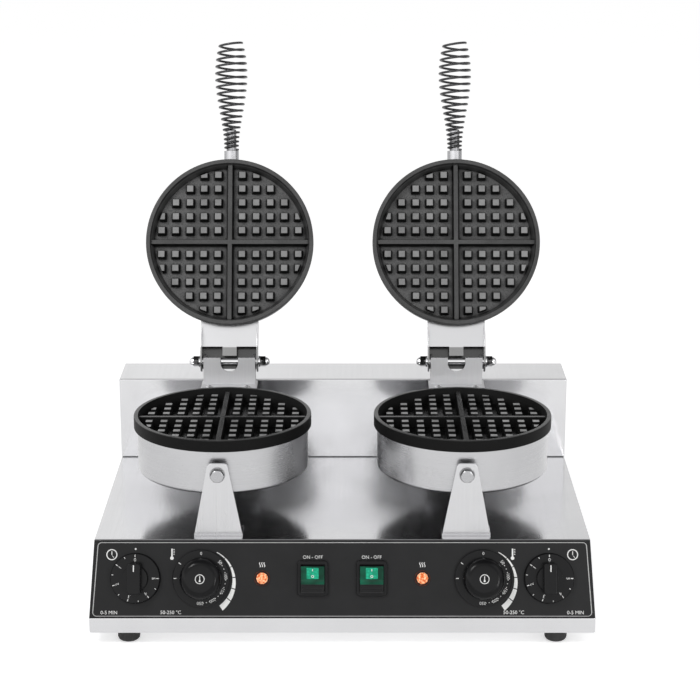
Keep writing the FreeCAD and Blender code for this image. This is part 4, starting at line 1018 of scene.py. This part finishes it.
def rocker_dress(side):
    """The lit cap on a rocker's upper half, its bright window with marks, and the steps of its lower half."""
    body = "rocker_" + side
    pivot = joints["switch_rock_" + side]["pos_m"]
    out = (Vector(pivot) - on_panel(pivot[0] / MM).translation).dot(panel_out) / MM
    matrix = on_panel(pivot[0] / MM, 0.0, out) @ Matrix.Rotation(math.radians(rocker_tilt_deg), 4, "X")
    slope = (rocker_end_rise - rocker_middle_rise) / rocker_half_height
    cap = bmesh.new()
    outline = [(cap_end, cap_foot), (cap_foot_end, cap_foot),
               (cap_top_end, rocker_end_rise + cap_skin), (0.0, rocker_middle_rise + cap_skin),
               (cap_end, rocker_middle_rise - cap_end * slope + cap_skin)]
    rounded_prism(cap, outline, -cap_half_width, cap_half_width, 0.4, matrix)
    piece_of(cap, "rocker_cap_" + side, GREEN_CAP, body, 40.0)
    window = bmesh.new()
    lift = rocker_middle_rise + cap_window_up * slope + (cap_skin + 0.02)
    face = matrix @ Matrix.Translation((0.0, cap_window_up * MM, lift * MM))
    face = face @ Matrix.Rotation(math.atan(slope), 4, "X")
    add_print(window, rounded_outline(-6.5, 6.5, -6.2, 6.4, 0.8), face)
    piece_of(window, "rocker_window_" + side, GREEN_WINDOW, body)
    marks = bmesh.new()
    lifted = face @ Matrix.Translation((0.0, 0.0, print_thickness * MM))
    add_print(marks, bar(-0.4, 0.4, 2.6, 5.0), lifted)
    for start in (0.0, 180.0):
        add_print(marks, band(0.9, 1.55, start, start + 180.0, 12, (0.0, -3.4)), lifted)
    piece_of(marks, "rocker_marks_" + side, FINISHES["panel_print"], body)
    steps = bmesh.new()
    for low, high, rise in ((-9.6, -6.2, 0.5), (-13.4, -10.4, 0.35)):
        outline = [(low, step_foot), (high, step_foot), (high, rocker_middle_rise - high * slope + rise),
                   (low, rocker_middle_rise - low * slope + rise)]
        rounded_prism(steps, outline, -step_half_width, step_half_width, 0.35, matrix)
    piece_of(steps, "rocker_steps_" + side, FINISHES["black_plastic"], body, 40.0)


lamp_facets()
lamp_collars()
for side, sign in SIDES:
    rocker_dress(side)


# Finishes on the solids themselves, and rounded copies of the sharp ones
for name, holder in nodes.items():
    holder.data.materials.clear()
    holder.data.materials.append(finish_of(name))
SOFT_WIDTHS = {"front_brackets": 0.25, "rear_brackets": 0.25}
for side, sign in SIDES:
    SOFT_WIDTHS["hinge_bracket_" + side] = 0.25
    SOFT_WIDTHS["hinge_arm_" + side] = 0.35
for name, width_mm in SOFT_WIDTHS.items():
    softened(name, width_mm)
add_recesses("bracket_bolts", HEX_SOCKETS, 3.2)
add_recesses("case_screws", CROSS_RECESSES, 4.2)
add_recesses("foot_screws", CROSS_RECESSES, 4.2)


# Floor, light and camera
def plain_rays(tree):
    """1 for what the camera sees straight on, in a mirror or through glass."""
    path = node(tree, "ShaderNodeLightPath", {}, {}).outputs
    seen = math_node(tree, "MAXIMUM", path["Is Camera Ray"], path["Is Glossy Ray"])
    return math_node(tree, "MAXIMUM", seen, path["Is Transmission Ray"]), path


def floor():
    lowest = cad_box[0][2]
    corners = bar(-floor_half_width, floor_half_width, -floor_half_width, floor_half_width)
    mesh = bpy.data.meshes.new("floor")
    mesh.from_pydata([(x, y, lowest) for x, y in corners], [], [(0, 1, 2, 3)])
    made = bpy.data.objects.new("floor", mesh)
    bpy.context.scene.collection.objects.link(made)
    material, tree, shader = finish_material("pale floor")
    shader.inputs["Base Color"].default_value = (0.86, 0.86, 0.86, 1.0)
    shader.inputs["Roughness"].default_value = 0.9
    shader.inputs["Specular IOR Level"].default_value = 0.0
    seen, path = plain_rays(tree)
    shader.inputs["Emission Color"].default_value = (1.0, 1.0, 1.0, 1.0)
    tree.links.new(math_node(tree, "MULTIPLY", seen, floor_lift), shader.inputs["Emission Strength"])
    mesh.materials.append(material)


def studio_world():
    """An even white room; metal sees a bright low band in front, and less overhead and to the right."""
    world = bpy.data.worlds.new("studio")
    world.use_nodes = True
    bpy.context.scene.world = world
    tree = world.node_tree
    backdrop = tree.nodes["Background"]
    backdrop.inputs["Color"].default_value = (1.0, 1.0, 1.0, 1.0)
    way = node(tree, "ShaderNodeTexCoord", {}, {}).outputs["Generated"]
    parts = node(tree, "ShaderNodeSeparateXYZ", {}, {0: way}).outputs
    in_front = math_node(tree, "MULTIPLY", spread(tree, parts["Z"], 0.10, 0.22, 1.25, 2.6),
                         spread(tree, parts["Z"], 0.30, 0.44, 1.0, 0.5))
    in_front = math_node(tree, "MULTIPLY", in_front, spread(tree, parts["Z"], 0.72, 0.97, 1.0, 0.2))
    behind = spread(tree, parts["Z"], 0.5, 0.95, 1.2, 0.25)
    share = spread(tree, parts["Y"], -0.2, 0.2, 0.0, 1.0)
    height = math_node(tree, "ADD", math_node(tree, "MULTIPLY", behind, share),
                       math_node(tree, "MULTIPLY", in_front, math_node(tree, "SUBTRACT", 1.0, share)))
    room = math_node(tree, "MULTIPLY", height, spread(tree, parts["X"], -0.2, 0.8, 1.0, 0.5))
    seen, path = plain_rays(tree)
    mirrored = math_node(tree, "MULTIPLY", path["Is Glossy Ray"], room)
    plain = math_node(tree, "SUBTRACT", seen, path["Is Glossy Ray"])
    bright = math_node(tree, "ADD", mirrored, math_node(tree, "MAXIMUM", plain, 0.0))
    even = math_node(tree, "MULTIPLY", math_node(tree, "SUBTRACT", 1.0, seen), room_light)
    tree.links.new(math_node(tree, "ADD", bright, even), backdrop.inputs["Strength"])


def soft_light(name, place, size, watts):
    lamp = bpy.data.lights.new(name, "AREA")
    lamp.size = size
    lamp.energy = watts
    made = bpy.data.objects.new(name, lamp)
    made.location = place
    made.rotation_euler = (Vector((0.0, 0.0, 0.15)) - Vector(place)).to_track_quat("-Z", "Y").to_euler()
    bpy.context.scene.collection.objects.link(made)


def photograph_camera():
    view = bpy.data.cameras.new("camera")
    view.lens = camera_lens_mm
    view.sensor_width = sensor_mm
    view.clip_end = 100.0
    made = bpy.data.objects.new("camera", view)
    controls_y = joints["timer_turn_left"]["pos_m"][1]
    made.location = (camera_x, controls_y - camera_before_controls, camera_height)
    made.rotation_euler = (math.radians(90.0 - camera_pitch_deg), 0.0, 0.0)
    bpy.context.scene.collection.objects.link(made)
    bpy.context.scene.camera = made


floor()
studio_world()
soft_light("key", (-1.1, -1.4, 1.9), 0.6, 18.0)
soft_light("fill", (1.5, -1.0, 1.3), 1.4, 6.0)
soft_light("glint", (0.9, -1.7, 0.35), 0.25, 4.0)
photograph_camera()
bpy.context.scene.view_settings.view_transform = "Standard"
